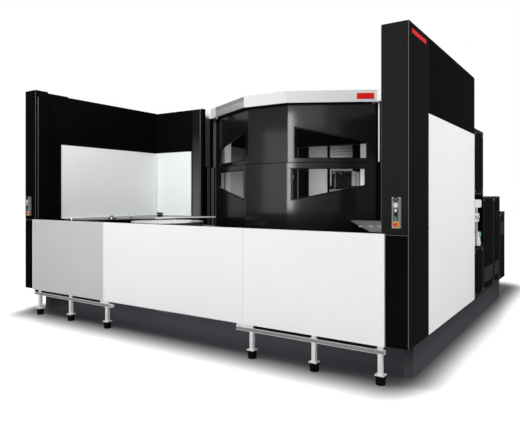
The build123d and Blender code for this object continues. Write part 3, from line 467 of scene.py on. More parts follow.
class Shape:
    """The mesh of one piece while it is built."""

    def __init__(self):
        self.mesh = bmesh.new()

    def bevelled(self, faces, edge):
        if edge:
            edges = list({side for face in faces for side in face.edges})
            bmesh.ops.bevel(
                self.mesh, geom=edges, offset=edge / 1000, segments=2, affect="EDGES", clamp_overlap=True,
            )
        return self

    def prism(self, outline, rise, edge=0.0):
        """An outline given depth along a vector, its edges rounded by so many millimetres."""
        low = [self.mesh.verts.new(point) for point in outline]
        high = [self.mesh.verts.new(point + rise) for point in outline]
        faces = [self.mesh.faces.new(low[::-1]), self.mesh.faces.new(high)]
        for k in range(len(low)):
            faces.append(self.mesh.faces.new((low[k - 1], low[k], high[k], high[k - 1])))
        return self.bevelled(faces, edge)

    def block(self, x, depth, z, edge=1.0):
        outline = [at(across, behind, z[0]) for across, behind in rectangle(x, depth)]
        return self.prism(outline, Vector((0, 0, (z[1] - z[0]) / 1000)), edge)

    def face_block(self, side, along, z, out, setback=0.0, edge=1.0):
        """A block that lies on an angled face of the bay."""
        outline = [on_face(side, a, z[0], setback, b) for a, b in rectangle(along, out)]
        return self.prism(outline, Vector((0, 0, (z[1] - z[0]) / 1000)), edge)

    def bay_strip(self, along, z, out, setback=0.0, edge=1.0, hands=(-1, 1)):
        """A strip across the bay's centre face and along its angled faces."""
        half = bay_centre_half - setback * corner_shift
        face = bay_front + setback
        self.block((-half, half), (face - out[1], face - out[0]), z, edge)
        for side in hands:
            self.face_block(side, along, z, out, setback, edge)
        return self

    def frame(self, outer, inner, rise, edge=0.0):
        """A closed frame between two outlines with the same number of corners."""
        rings = [[self.mesh.verts.new(point + lift) for point in run]
                 for run, lift in ((outer, rise * 0), (outer, rise), (inner, rise), (inner, rise * 0))]
        faces = []
        for first, second in zip(rings, rings[1:] + rings[:1]):
            for k in range(len(outer)):
                faces.append(self.mesh.faces.new((first[k - 1], first[k], second[k], second[k - 1])))
        return self.bevelled(faces, edge)

    def turned(self, base, axis, profile, sides=24, closed=False):
        """A turned form: its profile is pairs of radius and height along an axis from base."""
        axis = axis.normalized()
        first = axis.orthogonal().normalized()
        second = axis.cross(first)
        rings = []
        for radius, height in profile:
            centre = base + axis * height / 1000
            directions = circle(sides) if radius else [(1, 0)]
            ring = [
                self.mesh.verts.new(centre + (first * cosine + second * sine) * radius / 1000)
                for cosine, sine in directions
            ]
            rings.append(ring * sides if len(ring) == 1 else ring)
        pairs = list(zip(rings, rings[1:]))
        if closed:
            pairs.append((rings[-1], rings[0]))
        for low, high in pairs:
            for k in range(sides):
                corners = list(dict.fromkeys((low[k - 1], low[k], high[k], high[k - 1])))
                if len(corners) > 2:
                    self.mesh.faces.new(corners)
        return self

    def pin(self, base, axis, length, radius):
        """A round bar with its ends broken by a millimetre."""
        profile = [(0, 0), (radius - 1, 0), (radius, 1)]
        profile += [(radius, length - 1), (radius - 1, length), (0, length)]
        return self.turned(base, axis, profile, 20)

    def screw(self, base, axis, radius=6.0):
        """A button-head socket screw."""
        profile = [(0, -1), (radius, -1), (radius, 0.25 * radius), (0.72 * radius, 0.55 * radius)]
        profile += [(0.4 * radius, 0.6 * radius), (0.38 * radius, 0.2 * radius), (0, 0.2 * radius)]
        return self.turned(base, axis, profile, 12)

    def flush_screw(self, base, axis, radius, socket):
        """A flat screw head, 1.2 mm proud."""
        profile = [(0, 0), (radius, 0), (radius, 0.8), (radius - 1, 1.2)]
        profile += [(socket, 1.2), (socket - 1, 0.9), (0, 0.9)]
        return self.turned(base, axis, profile, 20)

    def hex_bolt(self, base, axis, radius=9.0):
        """A hexagon head on its washer."""
        profile = [(0, -1), (1.5 * radius, -1), (1.5 * radius, 0.15 * radius), (0, 0.15 * radius)]
        self.turned(base, axis, profile, 20)
        profile = [(0, 0), (radius, 0), (radius, 0.65 * radius)]
        profile += [(0.85 * radius, 0.75 * radius), (0, 0.75 * radius)]
        return self.turned(base, axis, profile, 6)

    def pleats(self, start, end, out, count, rise, thickness=3.0):
        """A folded curtain from start to end, its folds standing out by a vector."""
        near = [start.lerp(end, k / (2 * count)) + (out if k % 2 else out * 0) for k in range(2 * count + 1)]
        far = [point + out.normalized() * thickness / 1000 for point in reversed(near)]
        return self.prism(near + far, rise)

    def done(self, name, slot, finish=None, body="frame", smooth=40.0):
        """Turns the mesh into a piece that rides on a body, in its slot's own finish or another."""
        bmesh.ops.recalc_face_normals(self.mesh, faces=self.mesh.faces[:])
        data = bpy.data.meshes.new(name)
        self.mesh.to_mesh(data)
        self.mesh.free()
        data.polygons.foreach_set("use_smooth", [True] * len(data.polygons))
        data.set_sharp_from_angle(angle=math.radians(smooth))
        data.materials.append(finish or slot_finish[slot])
        piece = bpy.data.objects.new(name, data)
        bpy.context.scene.collection.objects.link(piece)
        flat_faces = piece.modifiers.new("flat_faces", "WEIGHTED_NORMAL")
        flat_faces.keep_sharp = True
        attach(piece, body)
        return piece


def blocks(name, slot, finish, boxes, body="frame"):
    """A piece made of blocks alone: each is its ranges across, behind and above, and its edge if not 1."""
    shape = Shape()
    for box in boxes:
        shape.block(*box)
    return shape.done(name, slot, finish, body)


def on_both_sides(*boxes):
    """Blocks on the machine's left and right."""
    return [((side * x[0], side * x[1]), *rest) for side in (-1, 1) for x, *rest in boxes]


# Door guides and the covers of the bay posts
for side, name in sides:
    guides = Shape()
    guides.block((side * 1684, side * 1731), (3089, 3111.2), (1164, guide_top), 2.0)
    guides.block((side * 1700, side * 1714), (3082, 3090), (1164, guide_top))
    for z in range(1260, 3380, 300):
        guides.screw(at(side * 1723, 3089, z), front, 5)
    # The same guide in bright steel on the right and dark grey on the left: painted light and painted shade.
    guides.done(name + "_door_guide", "machined_steel", guide_steel if side > 0 else edge_highlight_grey)
blocks("bay_post_covers", "station_plate", plain_black, on_both_sides(
    ((1764, 1863), (3012, 3020.9), (sill_top, guide_top), 2.0),
    ((1764, 1775), (3004, 3014), (sill_top, guide_top), 1.5),
))

# End of the left back wall, its plate in painted light that fades up it, and the folds between it and the
# bay, their trims in lighter grey as painted highlights
blocks("left_wall_end_plate", "black_paint", wall_end_lit_coat, [
    ((-1985, -1808), (2766, 2769.5), (wall_low, 3552)),
])
blocks("left_wall_end_trim_highlights", "station_plate", edge_highlight_grey, [
    ((-1802, -1780), (2764.5, 2769.5), (wall_low, 3556), 1.5),
    ((-1731, -1727.2), (2900, 2984), (sill_top, 2432), 1.2),
    ((-1731, -1727.2), (2852, 2984), (2440, 3386), 1.2),
    ((-1728, -1723.5), (2964, 2978), (sill_top, 3386), 1.2),
])
# Lighter grey strips on the columns' inner folds: painted highlights.
blocks("column_inner_fold_highlights", "black_paint", edge_highlight_grey, on_both_sides(
    ((2893.4, 2895.5), (36, 50), (1520, 3480), 0.6),
    ((2893.4, 2903), (-1.4, 1), (1500, 3560), 0.6),
))

# End trims of the door leaves: on the left in the lighter grey as painted highlights, on the right black
for body, end, depth, height in (
    ("lower_door", 1728.0, 3026, (1164, 2426)), ("upper_door", 1679.0, 3081, (2400, 3372)),
):
    for side, name in sides:
        blocks(body + "_" + name + "_end_trim", "station_plate", edge_highlight_grey if side < 0 else plain_black, [
            ((side * (end - 62), side * (end - 1)), (depth - 2.2, depth + 0.5), height),
            ((side * (end - 20), side * (end - 8)), (depth - 4, depth - 1), height),
        ], body)

# Wiper strips along the tops of the leaves, black, also standing for the shadow line there as painted shade,
# and the upper leaf's brush behind the header's lower edge
for body, setback, level in (("lower_door", lower_setback, leaf_joint), ("upper_door", upper_setback, 3375)):
    wiper = Shape().bay_strip((1.5, 1415 - setback / 2), (level - 14, level - 3), (-3, 1.2), setback, 0.6)
    wiper.done(body + "_wiper_and_shadow_strip", "foot_rubber", seal_rubber, body)
brush = Shape().bay_strip((1.5, 1366), (3373, 3428), (-15, -3), upper_setback)
brush.done("upper_door_top_brush", "foot_rubber", seal_rubber, "upper_door")

# Seals round the windows, and the retainers and screws of the panes behind them. The corners of a
# window are places along its face and above a level.
windows = (
    ("upper_door", upper_setback, 2395, [(112, 109), (1290, 95), (1290, 371), (112, 616)]),
    ("lower_door", lower_setback, leaf_joint, [(70, -622), (1266, -379), (1266, -108), (70, -103)]),
)
for body, setback, level, corners in windows:
    seal = Shape()
    retainers = Shape()
    for side in (-1, 1):
        def window_outline(grow, out):
            outline = offset_outline(corners, grow)
            return [on_face(side, along, level + z, setback, out) for along, z in outline]

        out = on_face(side, 0, 0, 0, 2.5) - on_face(side, 0, 0, 0, 0)
        seal.frame(window_outline(7, 0), window_outline(-5, 0), out, 0.8)
        retainers.frame(window_outline(26, -30), window_outline(-8, -30), -out * 1.6, 0.8)
        for place in window_outline(13, -34):
            retainers.screw(place, -out, 5)
    seal.done(body + "_window_seals", "foot_rubber", seal_rubber, body)
    retainers.done(body + "_pane_retainers", "station_plate", body=body)

# Header: folded lower lip; under it a thin black strip, the painted shadow line below the header; ribbed
# infill and bands of the left angled face, greyer than the header as painted shade; white end covers,
# lighter than the header as painted light; bare red plate
lip = Shape().bay_strip((4, face_length), (header_bottom, header_bottom + 9), (-2, 4), hands=[1])
lip.done("header_lower_lip", "header_paint")
lower_shadow_strip = Shape().bay_strip((2, face_length), (3390.4, 3392.4), (-28, 0.5), edge=0.3)
lower_shadow_strip.done("header_lower_shadow_strip", "foot_rubber", seal_rubber)
grille = Shape().face_block(-1, (6, face_length), (3402, 3500), (-1, 1.5), 0, 0.8)
for k in range(6):
    z = 3412 + 14.5 * k
    grille.face_block(-1, (180, 1180), (z, z + 7), (0, 4), 0, 1.2)
grille.done("header_vent_grille", "header_paint", shaded_vent_grey)
band = Shape().face_block(-1, (6, face_length), (3503, 3581), (-1, 1.5), 0, 0.8)
band.face_block(-1, (4, face_length), (header_bottom, 3401), (-2, 4))
band.done("header_left_band", "header_paint", left_face_shade_grey)
blocks("header_end_lit_covers", "header_paint", white, on_both_sides(
    ((1712, 1904), (bay_side - 3, bay_side + 0.5), (header_bottom + 4, cover_top - 4), 1.5),
))
plate = Shape().face_block(1, (1141, 1411), (3437, 3533), (-1, 4), 0, 2.0)
plate.done("header_bare_plate", "red_plastic", plate_red)

# Columns: bare red plate on the right one's side, its front plate, folds along the front edges in lighter
# grey as painted highlights
side_face = half_width * 1000
corners = [at(side_face - 1, depth, z) for depth, z in rectangle((98, 577), (3485, 3531))]
badge = Shape().prism(corners, right * 0.0016, 0.3)
badge.done("column_bare_plate", "red_plastic", plate_red)
blocks("right_column_front_plate", "black_paint", door_black, [((2898, 3159), (-2.4, 0.5), (1499, 3582))])
blocks("column_edge_fold_highlights", "black_paint", edge_highlight_grey, on_both_sides(
    ((3165.5, 3174.5), (-1.5, 1), (384, 1486), 0.6),
    ((3165.5, 3174.5), (-1.5, 1), (1498, 3581), 0.6),
    ((2937, 3174.5), (-1.5, 1), (1486.5, wall_low), 0.6),
))
# White strips on the edges of the darker left tray: painted highlights on its folds.
blocks("left_tray_fold_highlights", "white_paint", white, [
    ((-1236, -1217), (-31.5, -29), (383, 1497), 0.8),
    ((-2934, -2922), (-31.5, -29), (383, 1497), 0.8),
])

# White inner panels: corner trims and folded bottom lips, screws, a painted shadow line in the corner
blocks("inner_panel_trims", "liner_paint", liner, on_both_sides(
    ((2960, 2967), (2700, 2749), (wall_low, liner_top)),
    ((2900, 2962), (2744, 2749.5), (wall_low, liner_top)),
    ((2953, 2966), (540, 2740), (1490, 1504), 1.5),
    ((2020, 2940), (2736, 2749), (1490, 1504), 1.5),
))
liner_screws = Shape()
for side in (-1, 1):
    for z in (1540, 2700):
        for depth in range(620, 2700, 340):
            liner_screws.screw(at(side * 2966, depth, z), -side * right, 5)
        for x in range(2080, 2900, 260):
            liner_screws.screw(at(side * x, 2749, z), front, 5)
    for z in range(1560, 2740, 120):
        liner_screws.screw(at(side * 2912, 2744, z), front, 9)
liner_screws.done("inner_panel_screws", "machined_steel", plate_steel)
# Grey strips in the corners: painted shadow lines.
blocks("inner_panel_corner_shadow_lines", "liner_paint", shaded_vent_grey, on_both_sides(
    ((2929, 2938), (2741.5, 2746), (wall_low, liner_top)),
))

# Fixture drum on the waiting pallet: bolts round its side, a bored steel top with twelve bushes; the
# same steel is dark on the side as painted shade and bright on the top as painted light
drum_base = at(-1415, 1475, 1350.8)
profile = [(0, 0), (575, 0), (575, 22), (606, 30), (606, 88), (600, 92), (60, 92), (60, 60), (0, 60)]
drum = Shape().turned(drum_base, up, profile, 112)
for cosine, sine in circle(18, 0.5):
    outward = Vector((cosine, sine, 0))
    drum.hex_bolt(drum_base + outward * 0.606 + up * 0.058, outward, 9)
drum.done("station_fixture_drum", "machined_steel", shaded_drum_side_steel)
profile = [(70, 90), (602, 90), (607, 93), (607, 97), (602, 101.5), (74, 101.5), (70, 98)]
drum_top = Shape().turned(drum_base, up, profile, 112, closed=True)
bush = [(0, 0), (20, 0), (20, 4), (17, 5), (9, 5), (8, 1), (0, 1)]
for cosine, sine in circle(12):
    drum_top.turned(drum_base + Vector((0.52 * cosine, 0.52 * sine, 0.101)), up, bush, 20)
drum_top.done("station_fixture_top", "machined_steel", lit_drum_top_steel)

# Scraper strip round the left deck's inner corner, along its long and its short edge
inner_corner = Vector((-1379.1, 2714.9))
along_long = (Vector((-2537.0, 600.0)) - inner_corner).normalized()
along_short = (Vector((-1477.9, 2769.0)) - inner_corner).normalized()
scraper = Shape()
for start, run, step, length in (
    (inner_corner, along_long, along_short, 1150),
    (inner_corner - along_long * 3, along_short, along_long, 104),
):
    outline = [start + run * reach + step * aside for reach, aside in rectangle((0, length), (-3, 13))]
    scraper.prism([at(corner.x, corner.y, 1474) for corner in outline], up * 0.0185, 1.0)
scraper.done("left_deck_scraper_strip", "machined_steel", scraper_white)

# Fittings on the decks
profile = [(0, -1), (30, -1), (30, 6), (14, 10), (12, 34), (24, 40), (30, 52), (29, 66), (18, 76), (0, 80)]
knob = Shape().turned(at(-2150, 905, deck_top), up, profile, 28)
knob.turned(at(-2560, 430, 1500), up, [(0, -31), (9, -31), (9, 8), (6, 12), (0, 12)], 16)
knob.done("deck_chrome_knob", "chrome_trim")

stops = Shape()
for x in (-2306, -2241):
    for low in (deck_top + 1, deck_top + 41):
        stops.block((x, x + 52), (2118, 2150), (low, low + 33), 3.0)
        stops.turned(at(x + 26, 2118, low + 17), front, [(0, -1), (9, -1), (9, 3), (6, 5), (0, 5)], 20)
stops.block((-2262, -2130), (925, 995), (deck_top, deck_top + 20), 3.0)
stops.block((2400, 2470), (1330, 1400), (deck_top, deck_top + 34), 3.0)
stops.done("deck_stop_blocks", "black_plastic")

clamp = Shape()
clamp.block((-2245, -2195), (1340, 1420), (deck_top, deck_top + 22), 3.0)
clamp.block((-2310, -2185), (2146, 2158), (deck_top, deck_top + 78), 2.0)
clamp.pin(at(-2220, 1380, deck_top + 20), up, 42, 9)
clamp.pin(at(-2262, 1380, deck_top + 54), right, 84, 6)
for x, depth in ((2304, 1218), (2390, 1290), (2215, 1109)):
    clamp.block((x - 26, x + 26), (depth - 12, depth + 12), (deck_top, deck_top + 14), 3.0)
clamp.done("deck_clamps", "machined_steel")

deck_screws = Shape()
for side in (-1, 1):
    for depth in range(680, 2700, 280):
        deck_screws.screw(at(side * 2930, depth, deck_top), up, 6)
    for x in range(2100, 2900, 260):
        deck_screws.screw(at(side * x, 2700, deck_top), up, 6)
deck_screws.done("deck_screws", "machined_steel")

# Barrier stands: bolts of the posts and of the trays; black strips in the gaps over the rails and grey strips
# on the rails' webs, both painted shade
post_x = (-2743, -1973, -1155, 1343, 2152, 2894)
barrier_end = 2936
stand_bolts = Shape()
for x in post_x:
    for across in (x - 34, x + 34):
        for depth in (-49, 19):
            stand_bolts.hex_bolt(at(across, depth, 104), up, 6.5)
    for across in (x - 36, x + 36):
        if across < barrier_end:
            stand_bolts.hex_bolt(at(across, 1, 325.5), front, 7)
for x in (-2743, -1973, 2152, 2894, -1250, -1175, 1170, 1290):
    stand_bolts.hex_bolt(at(x, -30, 363), front, 7)
stand_bolts.done("stand_bolts", "machined_steel")
blocks("stand_gap_shadow_strips", "foot_rubber", foot_rubber, [
    (x, (-29.6, -8), (347.3, 379.8))
    for x in ((-2876, -2792), (-2694, -2024), (-1922, -1294), (1370, 2100), (2204, 2842))
])
blocks("stand_rail_web_shade", "stand_paint", stand_shade, [
    (x, (-35.5, -33), (314, 338), 0.3) for x in ((-2876, -1130), (1130, 2930))
])

# Button stations: lamp lens, yellow collar under the stop, bezels, selector ring, cover screws
plate_face = -46.5
for side, name in sides:
    x = side * 3058
    profile = [(0, 0), (12.8, 0), (12.8, 8), (11, 12.5), (6.5, 14.6), (0, 15.2)]
    lens = Shape().turned(at(x, -34, 1842), front, profile, 28)
    lens.done(name + "_signal_lens", "red_plastic", signal_red)
    profile = [(22, 0), (31.5, 0), (31.5, 4.5), (29.5, 6), (23.5, 6), (22, 5)]
    collar = Shape().turned(at(x, -34.5, 1598), front, profile, 40, closed=True)
    collar.done(name + "_stop_collar", "green_plastic", yellow)
    bezels = Shape()
    for z in (1657, 1697, 1735):
        outer = rectangle((x - 21, x + 21), (z - 18.5, z + 18.5))
        inner = rectangle((x - 14.6, x + 14.6), (z - 14.6, z + 14.6))
        outlines = [[at(a, plate_face, b) for a, b in corners] for corners in (outer, inner)]
        bezels.frame(*outlines, front * 0.004, 0.8)
    profile = [(13.5, 0), (24, 0), (24, 3), (21, 5), (14, 5), (13.5, 4)]
    bezels.turned(at(x, plate_face, 1842), front, profile, 32, closed=True)
    bezels.done(name + "_button_bezels", "black_plastic")
    profile = [(17, 0), (24, 0), (24, 4), (22, 6), (18, 6), (17, 5)]
    ring = Shape().turned(at(x, plate_face, 1787), front, profile, 36, closed=True)
    ring.done(name + "_selector_ring", "chrome_trim")
    cover_screws = Shape()
    for across in (x - 36, x + 36):
        for z in (1568, 1857):
            cover_screws.screw(at(across, -35, z), front, 3.5)
    cover_screws.done(name + "_station_screws", "machined_steel")

# Inside the work room: lit strip on the left wall, black uprights, black sheets high on the rear and left
# walls as painted shade, bright strips
blocks("left_wall_lamp", "white_plastic", wall_glow, [((-1838.5, -1814), (3604, 3796), (2440, 3384), 5.0)])
blocks("work_room_uprights_and_shade_sheets", "black_paint", plain_black, on_both_sides(
    ((1012, 1100), (5150, rear_wall), (room_floor, guide_top), 4.0),
    ((1812, 1839), (4560, 4650), (room_floor, guide_top), 4.0),
) + [
    # Black sheets across the rear wall's top and high on the left wall: painted shade under the ceiling.
    ((-1836, 1836), (5188, rear_wall), (2962, guide_top), 2.0),
    ((-1839, -1834), (3210, 3500), (2440, 3386), 1.5),
    ((-1839, -1834), (3798, 4696), (2915, 3386), 1.5),
    ((-1839, -1834), (4904, 5180), (2915, 3386), 1.5),
])
blocks("work_room_wall_strips", "room_steel", shield_steel, on_both_sides(
    ((1838.5, 1818), (4700, 4900), (room_floor, 3380), 4.0),
    ((1838.5, 1820), (3610, 3790), (room_floor, 3380), 4.0),
))

# Moving column: sheet shields, their edges, lamp
column_sides = ((-1, "left", 820, shield_steel), (1, "right", 720, plain_black))
for side, name, wide, finish in column_sides:
    blocks(name + "_column_shield", "room_steel", finish, [
        ((side * 268, side * wide), (5326, 5331), column_sheets, 1.5),
        ((side * 268, side * 273), (5330, 5399.5), column_sheets, 1.5),
        ((side * (wide - 5), side * wide), (5330, 5392), column_sheets, 1.5),
    ], "machine_column")
shield_edges = Shape()
for side, name, wide, finish in column_sides:
    shield_edges.block((side * 266, side * 330), (5312, 5327), column_sheets, 3.0)
    shield_edges.block((side * (wide - 30), side * (wide + 2)), (5318, 5327), column_sheets, 2.0)
shield_edges.done("column_shield_edges", "black_paint", plain_black, "machine_column")
blocks("column_work_lamp", "white_plastic", lamp_glow, [
    ((452, 566), (5290, 5327), (1930, 3330), 6.0),
], "machine_column")


# Folding covers to both sides of the column, and above and below the spindle head
def bellows(name, body, slot, cloth, start, end, out, count, rise):
    """A folding cover, taken off its first body."""
    piece = Shape().pleats(start, end, out, count, rise).done(name, slot, cloth, body, 20)
    piece.parent = None
    return piece


for side, name, wide, finish in column_sides:
    inner = wide - 4
    start, end = [at(side * x, bellows_depth, 1080) for x in (2176, inner)]
    piece = bellows(
        name + "_way_bellows", "frame", "black_paint", bellows_cloth,
        start, end, front * 0.03, 23, up * 2.265,
    )
    start, end = [at(side * x, bellows_depth, 2000) for x in (2170, inner + 6)]
    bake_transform(piece)
for name, count, levels, held in (
    ("upper_head_bellows", 18, (3170, 2024), (3165, 2030)),
    ("lower_head_bellows", 5, (1062, 1366), (1065, 1362)),
):
    start, end = [at(-262, bellows_depth, z) for z in levels]
    piece = bellows(
        name, "machine_column", "room_steel", slot_cloth,
        start, end, front * 0.026, count, right * 0.524,
    )
    start, end = [at(0, bellows_depth, z) for z in held]
    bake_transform(piece)

# Spindle head: nose ring, coolant nozzles, face screws; dark unit and plates on its top
nose_height = 1540
head_dress = Shape()
for cosine, sine in circle(12):
    head_dress.hex_bolt(at(142 * cosine, 5000, nose_height + 142 * sine), front, 7)
nozzle = [(0, -2), (17, -2), (17, 60), (11, 70), (11, 120), (6, 150), (0, 150)]
for turn in (0.6, 1.3, 1.85, 2.55):
    place = at(196 * math.cos(turn), 5241, nose_height + 205 * math.sin(turn))
    head_dress.turned(place, front, nozzle, 20)
for side in (-1, 1):
    for z in (1800, 1880, 1960):
        head_dress.hex_bolt(at(side * 205, 5240, z), front, 11)
head_dress.turned(at(-152, 5258, 2368), front, [(0, -4), (26, -4), (26, 14), (20, 22), (0, 24)])
head_dress.turned(at(18, 5250, 2366), front, [(0, -4), (26, -4), (26, 12), (16, 20), (0, 20)])
head_dress.pin(at(-118, 5262, 2022), up, 308, 12)
head_dress.done("spindle_head_fittings", "chrome_trim", body="spindle_head")

head_top = Shape()
head_top.block((-240, 440), (5258, head_back), (2019.5, 2090), 6.0)
head_top.block((-100, 90), (5252, head_back), (2088, 2400), 10.0)
head_top.block((-200, -130), (5260, head_back), (2088, 2400), 6.0)
dial = [(0, -2), (82, -2), (82, 14), (72, 20), (56, 20), (50, 6), (0, 6)]
head_top.turned(at(180, 5254, 2222), front, dial, 40)
head_top.block((90, 262), (5270, head_back), (2088, 2390), 4.0)
head_top.done("head_top_unit", "black_paint", dark_plastic, "spindle_head")
blocks("head_top_plates", "room_steel", room_steel, [
    ((268, 352), (5262, head_back), (2088, 2400), 5.0),
    ((366, 436), (5266, head_back), (2088, 2380), 5.0),
] + [((276, 344), (5253, 5264), (z, z + 22), 3.0) for z in (2130, 2195, 2260, 2325)], "spindle_head")

# Recess at the right rear: pipes from the tank to the manifold, valves, filter bowl, caps
tank_top = 1118
valves = Shape()
valves.pin(at(3112, 3150, tank_top), up, 584, 15)
valve_body = [(0, 0), (24, 0), (34, 12), (34, 44), (20, 54), (20, 84)]
valve_body += [(36, 94), (36, 124), (22, 134), (0, 134)]
valve_knob = [(0, 0), (12, 0), (12, 8), (19, 10), (19, 18), (0, 18)]
for depth in (3245, 3395):
    valves.pin(at(3128, depth, tank_top), up, 582, 11)
    valves.turned(at(3128, depth, 1488), up, valve_body)
    valves.turned(at(3150, depth, 1560), right, valve_knob, 20)
profile = [(0, 0), (34, 0), (34, 90), (22, 100), (22, 150), (0, 150)]
valves.turned(at(3112, 3080, tank_top), up, profile)
profile = [(0, 0), (30, 0), (30, 60), (20, 70), (20, 214), (0, 214)]
valves.turned(at(3128, 3560, tank_top), up, profile)
valves.done("hydraulic_valves", "chrome_trim")
manifold = Shape().block((2835, 3160), (3120, 3600), (1700, 1822), 10.0)
profile = [(0, 0), (38, 0), (38, 120), (26, 132), (26, 210), (0, 214)]
manifold.turned(at(3128, 3455, tank_top), up, profile, 28)
manifold.done("hydraulic_manifold_cover", "white_plastic")
profile = [(0, 0), (40, 0), (40, 18), (32, 28), (32, 140), (42, 150), (42, 200), (18, 212), (0, 212)]
bowl = Shape().turned(at(3126, 3520, 1120), up, profile, 28)
bowl.done("hydraulic_filter_bowl", "green_plastic", teal)
cap = Shape()
cap.turned(at(3112, 3080, 1266), up, [(0, 0), (26, 0), (30, 10), (30, 44), (24, 56), (0, 58)])
cap.turned(at(3128, 3245, 1340), right, [(0, -12), (16, -12), (16, 16), (12, 20), (0, 20)], 20)
cap.done("hydraulic_red_cap", "red_plastic")
blocks("recess_closing_angle", "black_paint", plain_black, [((2495, 3172), (3596, 3639), (1819, 1886), 3.0)])


def service_door(name, face_x, depth, z, louvres):
    """A hung door on a side face: leaf, folded edge, louvres, hinges, grip and lock."""
    side = 1 if face_x > 0 else -1
    out = side * right

    def place(proud, behind, level):
        return at(face_x + side * proud, behind, level)

    def outline(proud, inset, behind=depth, levels=z):
        return [place(proud, *corner) for corner in rectangle(behind, levels, inset)]

    leaf = Shape().prism(outline(-1, 0), out * 0.016, 3.0)
    leaf.done(name + "_leaf", "black_paint", plain_black)
    # Folded edges in the lighter grey: painted highlights.
    folds = Shape()
    folds.frame(outline(14, 14), outline(14, 24), out * 0.003, 0.6)
    folds.frame(outline(-0.5, -10), outline(-0.5, -4), out * 0.004, 0.6)
    folds.done(name + "_folds", "station_plate", edge_highlight_grey)

    slats = Shape()
    slat_section = ((14, 0), (26, 0), (28, 4), (14, 20))
    slat_run = Vector((0, (depth[1] - depth[0] - 272) * 0.001, 0))
    for low, high in louvres:
        opening = ((depth[0] + 110, depth[1] - 110), (low - 30, high + 30))
        slats.frame(outline(14, 0, *opening), outline(14, 18, *opening), out * 0.004, 0.8)
        for level in range(low, high, 26):
            section = [place(proud, depth[0] + 136, level + lift) for proud, lift in slat_section]
            slats.prism(section, slat_run, 0.8)
    slats.done(name + "_louvres", "black_paint", dark_plastic)

    fittings = Shape()
    middle = (z[0] + z[1]) / 2
    hinge = depth[1] + 7
    grip = depth[0] + 62
    for level in (z[0] + 180, middle, z[1] - 180):
        fittings.pin(place(9, hinge, level - 45), up, 90, 9)
    fittings.pin(place(48, grip, middle - 85), up, 170, 9)
    for level in (middle - 80, middle + 80):
        fittings.pin(place(13, grip, level), out, 37, 9)
    lock = [(0, 0), (17, 0), (17, 5), (14, 8), (6, 8), (5, 5), (0, 5)]
    fittings.turned(place(14, grip, middle - 150), out, lock, 28)
    fittings.done(name + "_hinges_and_grip", "chrome_trim")


# Service doors on the sides of the magazine and of the rear enclosure
for name, depth in (("magazine_front_door", (3400, 4060)), ("magazine_rear_door", (4120, 4780))):
    service_door(name, -2879.5, depth, (1450, 2850), [(1550, 1810)])
for name, face_x, depths in (
    ("enclosure_left_door_", -2200, ((5290, 5800), (5860, 6370), (6430, 6890))),
    ("enclosure_right_door_", 2200, ((5760, 6300), (6360, 6890))),
):
    for k, depth in enumerate(depths):
        service_door(name + str(k + 1), face_x, depth, (170, 3250), [(360, 620), (2780, 3040)])

# Right face: flush panel joints and louvre lines, lighter than the black as painted highlights, and screws
flush_panels = (
    ("upper_cabinet", "frame", (3030, 3620), (1910, 2835), ()),
    ("hydraulic_unit", "frame", (3030, 3620), (400, 1095), ()),
    ("coolant_tank", "frame", (5172, 5660), (120, 1565), range(1180, 1420, 30)),
    ("front_cabinet_door", "front_cabinet_door", (3656, 4524), (400, 1852), range(520, 760, 30)),
    ("rear_cabinet_door", "rear_cabinet_door", (4556, 5134), (400, 1852), range(520, 760, 30)),
)
for name, body, depth, z, louvres in flush_panels:
    def flush(corners):
        return [at(flush_x, behind, level) for behind, level in corners]

    lines = Shape().frame(flush(rectangle(depth, z)), flush(rectangle(depth, z, 7)), line_rise, 0.1)
    for level in louvres:
        lines.prism(flush(rectangle((depth[0] + 90, depth[1] - 90), (level, level + 9))), line_rise, 0.1)
    lines.done(name + "_joint_line_highlights", "station_plate", joint_highlight_grey, body)
    screws = Shape()
    for place in flush(rectangle(depth, z, 40)):
        screws.flush_screw(place, right, 11, 4)
    screws.done(name + "_flush_screws", "machined_steel", body=body)

# Rear face: the same for its twelve panels, their joint and louvre lines in the lighter grey as painted
# highlights
rear_lines = Shape()
rear_screws = Shape()
for x in ((-2180, -1110), (-1090, -10), (10, 1090), (1110, 2180)):
    for z in ((120, 1190), (1210, 2280), (2300, 3370)):
        outer, inner = [
            [at(across, flush_depth, level) for across, level in rectangle(x, z, inset)] for inset in (0, 7)
        ]
        rear_lines.frame(outer, inner, rear * 0.0011, 0.1)
        for across in (x[0] + 45, (x[0] + x[1]) / 2, x[1] - 45):
            for level in (z[0] + 45, z[1] - 45):
                rear_screws.flush_screw(at(across, flush_depth, level), rear, 13, 5)
for x in ((-1940, -1350), (1350, 1940)):
    for z in range(2560, 3100, 36):
        rear_lines.block(x, (flush_depth, flush_depth + 1.2), (z, z + 12), 0.1)
rear_lines.done("rear_panel_joint_highlights", "station_plate", edge_highlight_grey)
rear_screws.done("rear_panel_screws", "machined_steel")

# Enclosure roof: stiffening ribs and lifting eyes
blocks("enclosure_roof_ribs", "black_paint", plain_black, [
    ((-2150, 2150), (depth, depth + 40), (3391, 3416), 4.0) for depth in range(5420, 6900, 290)
])
eyes = Shape()
eye_ring = [(32 + 9 * cosine, 9 * sine) for cosine, sine in circle(12)]
for x in (-1950, 1950):
    for depth in (5330, 6820):
        eyes.turned(at(x, depth, 3391), up, [(0, 0), (34, 0), (34, 10), (16, 16), (13, 34), (0, 34)])
        eyes.turned(at(x, depth, 3455), rear, eye_ring, 32, closed=True)
eyes.done("lifting_eyes", "machined_steel")


# Floor, sky, lamps and camera

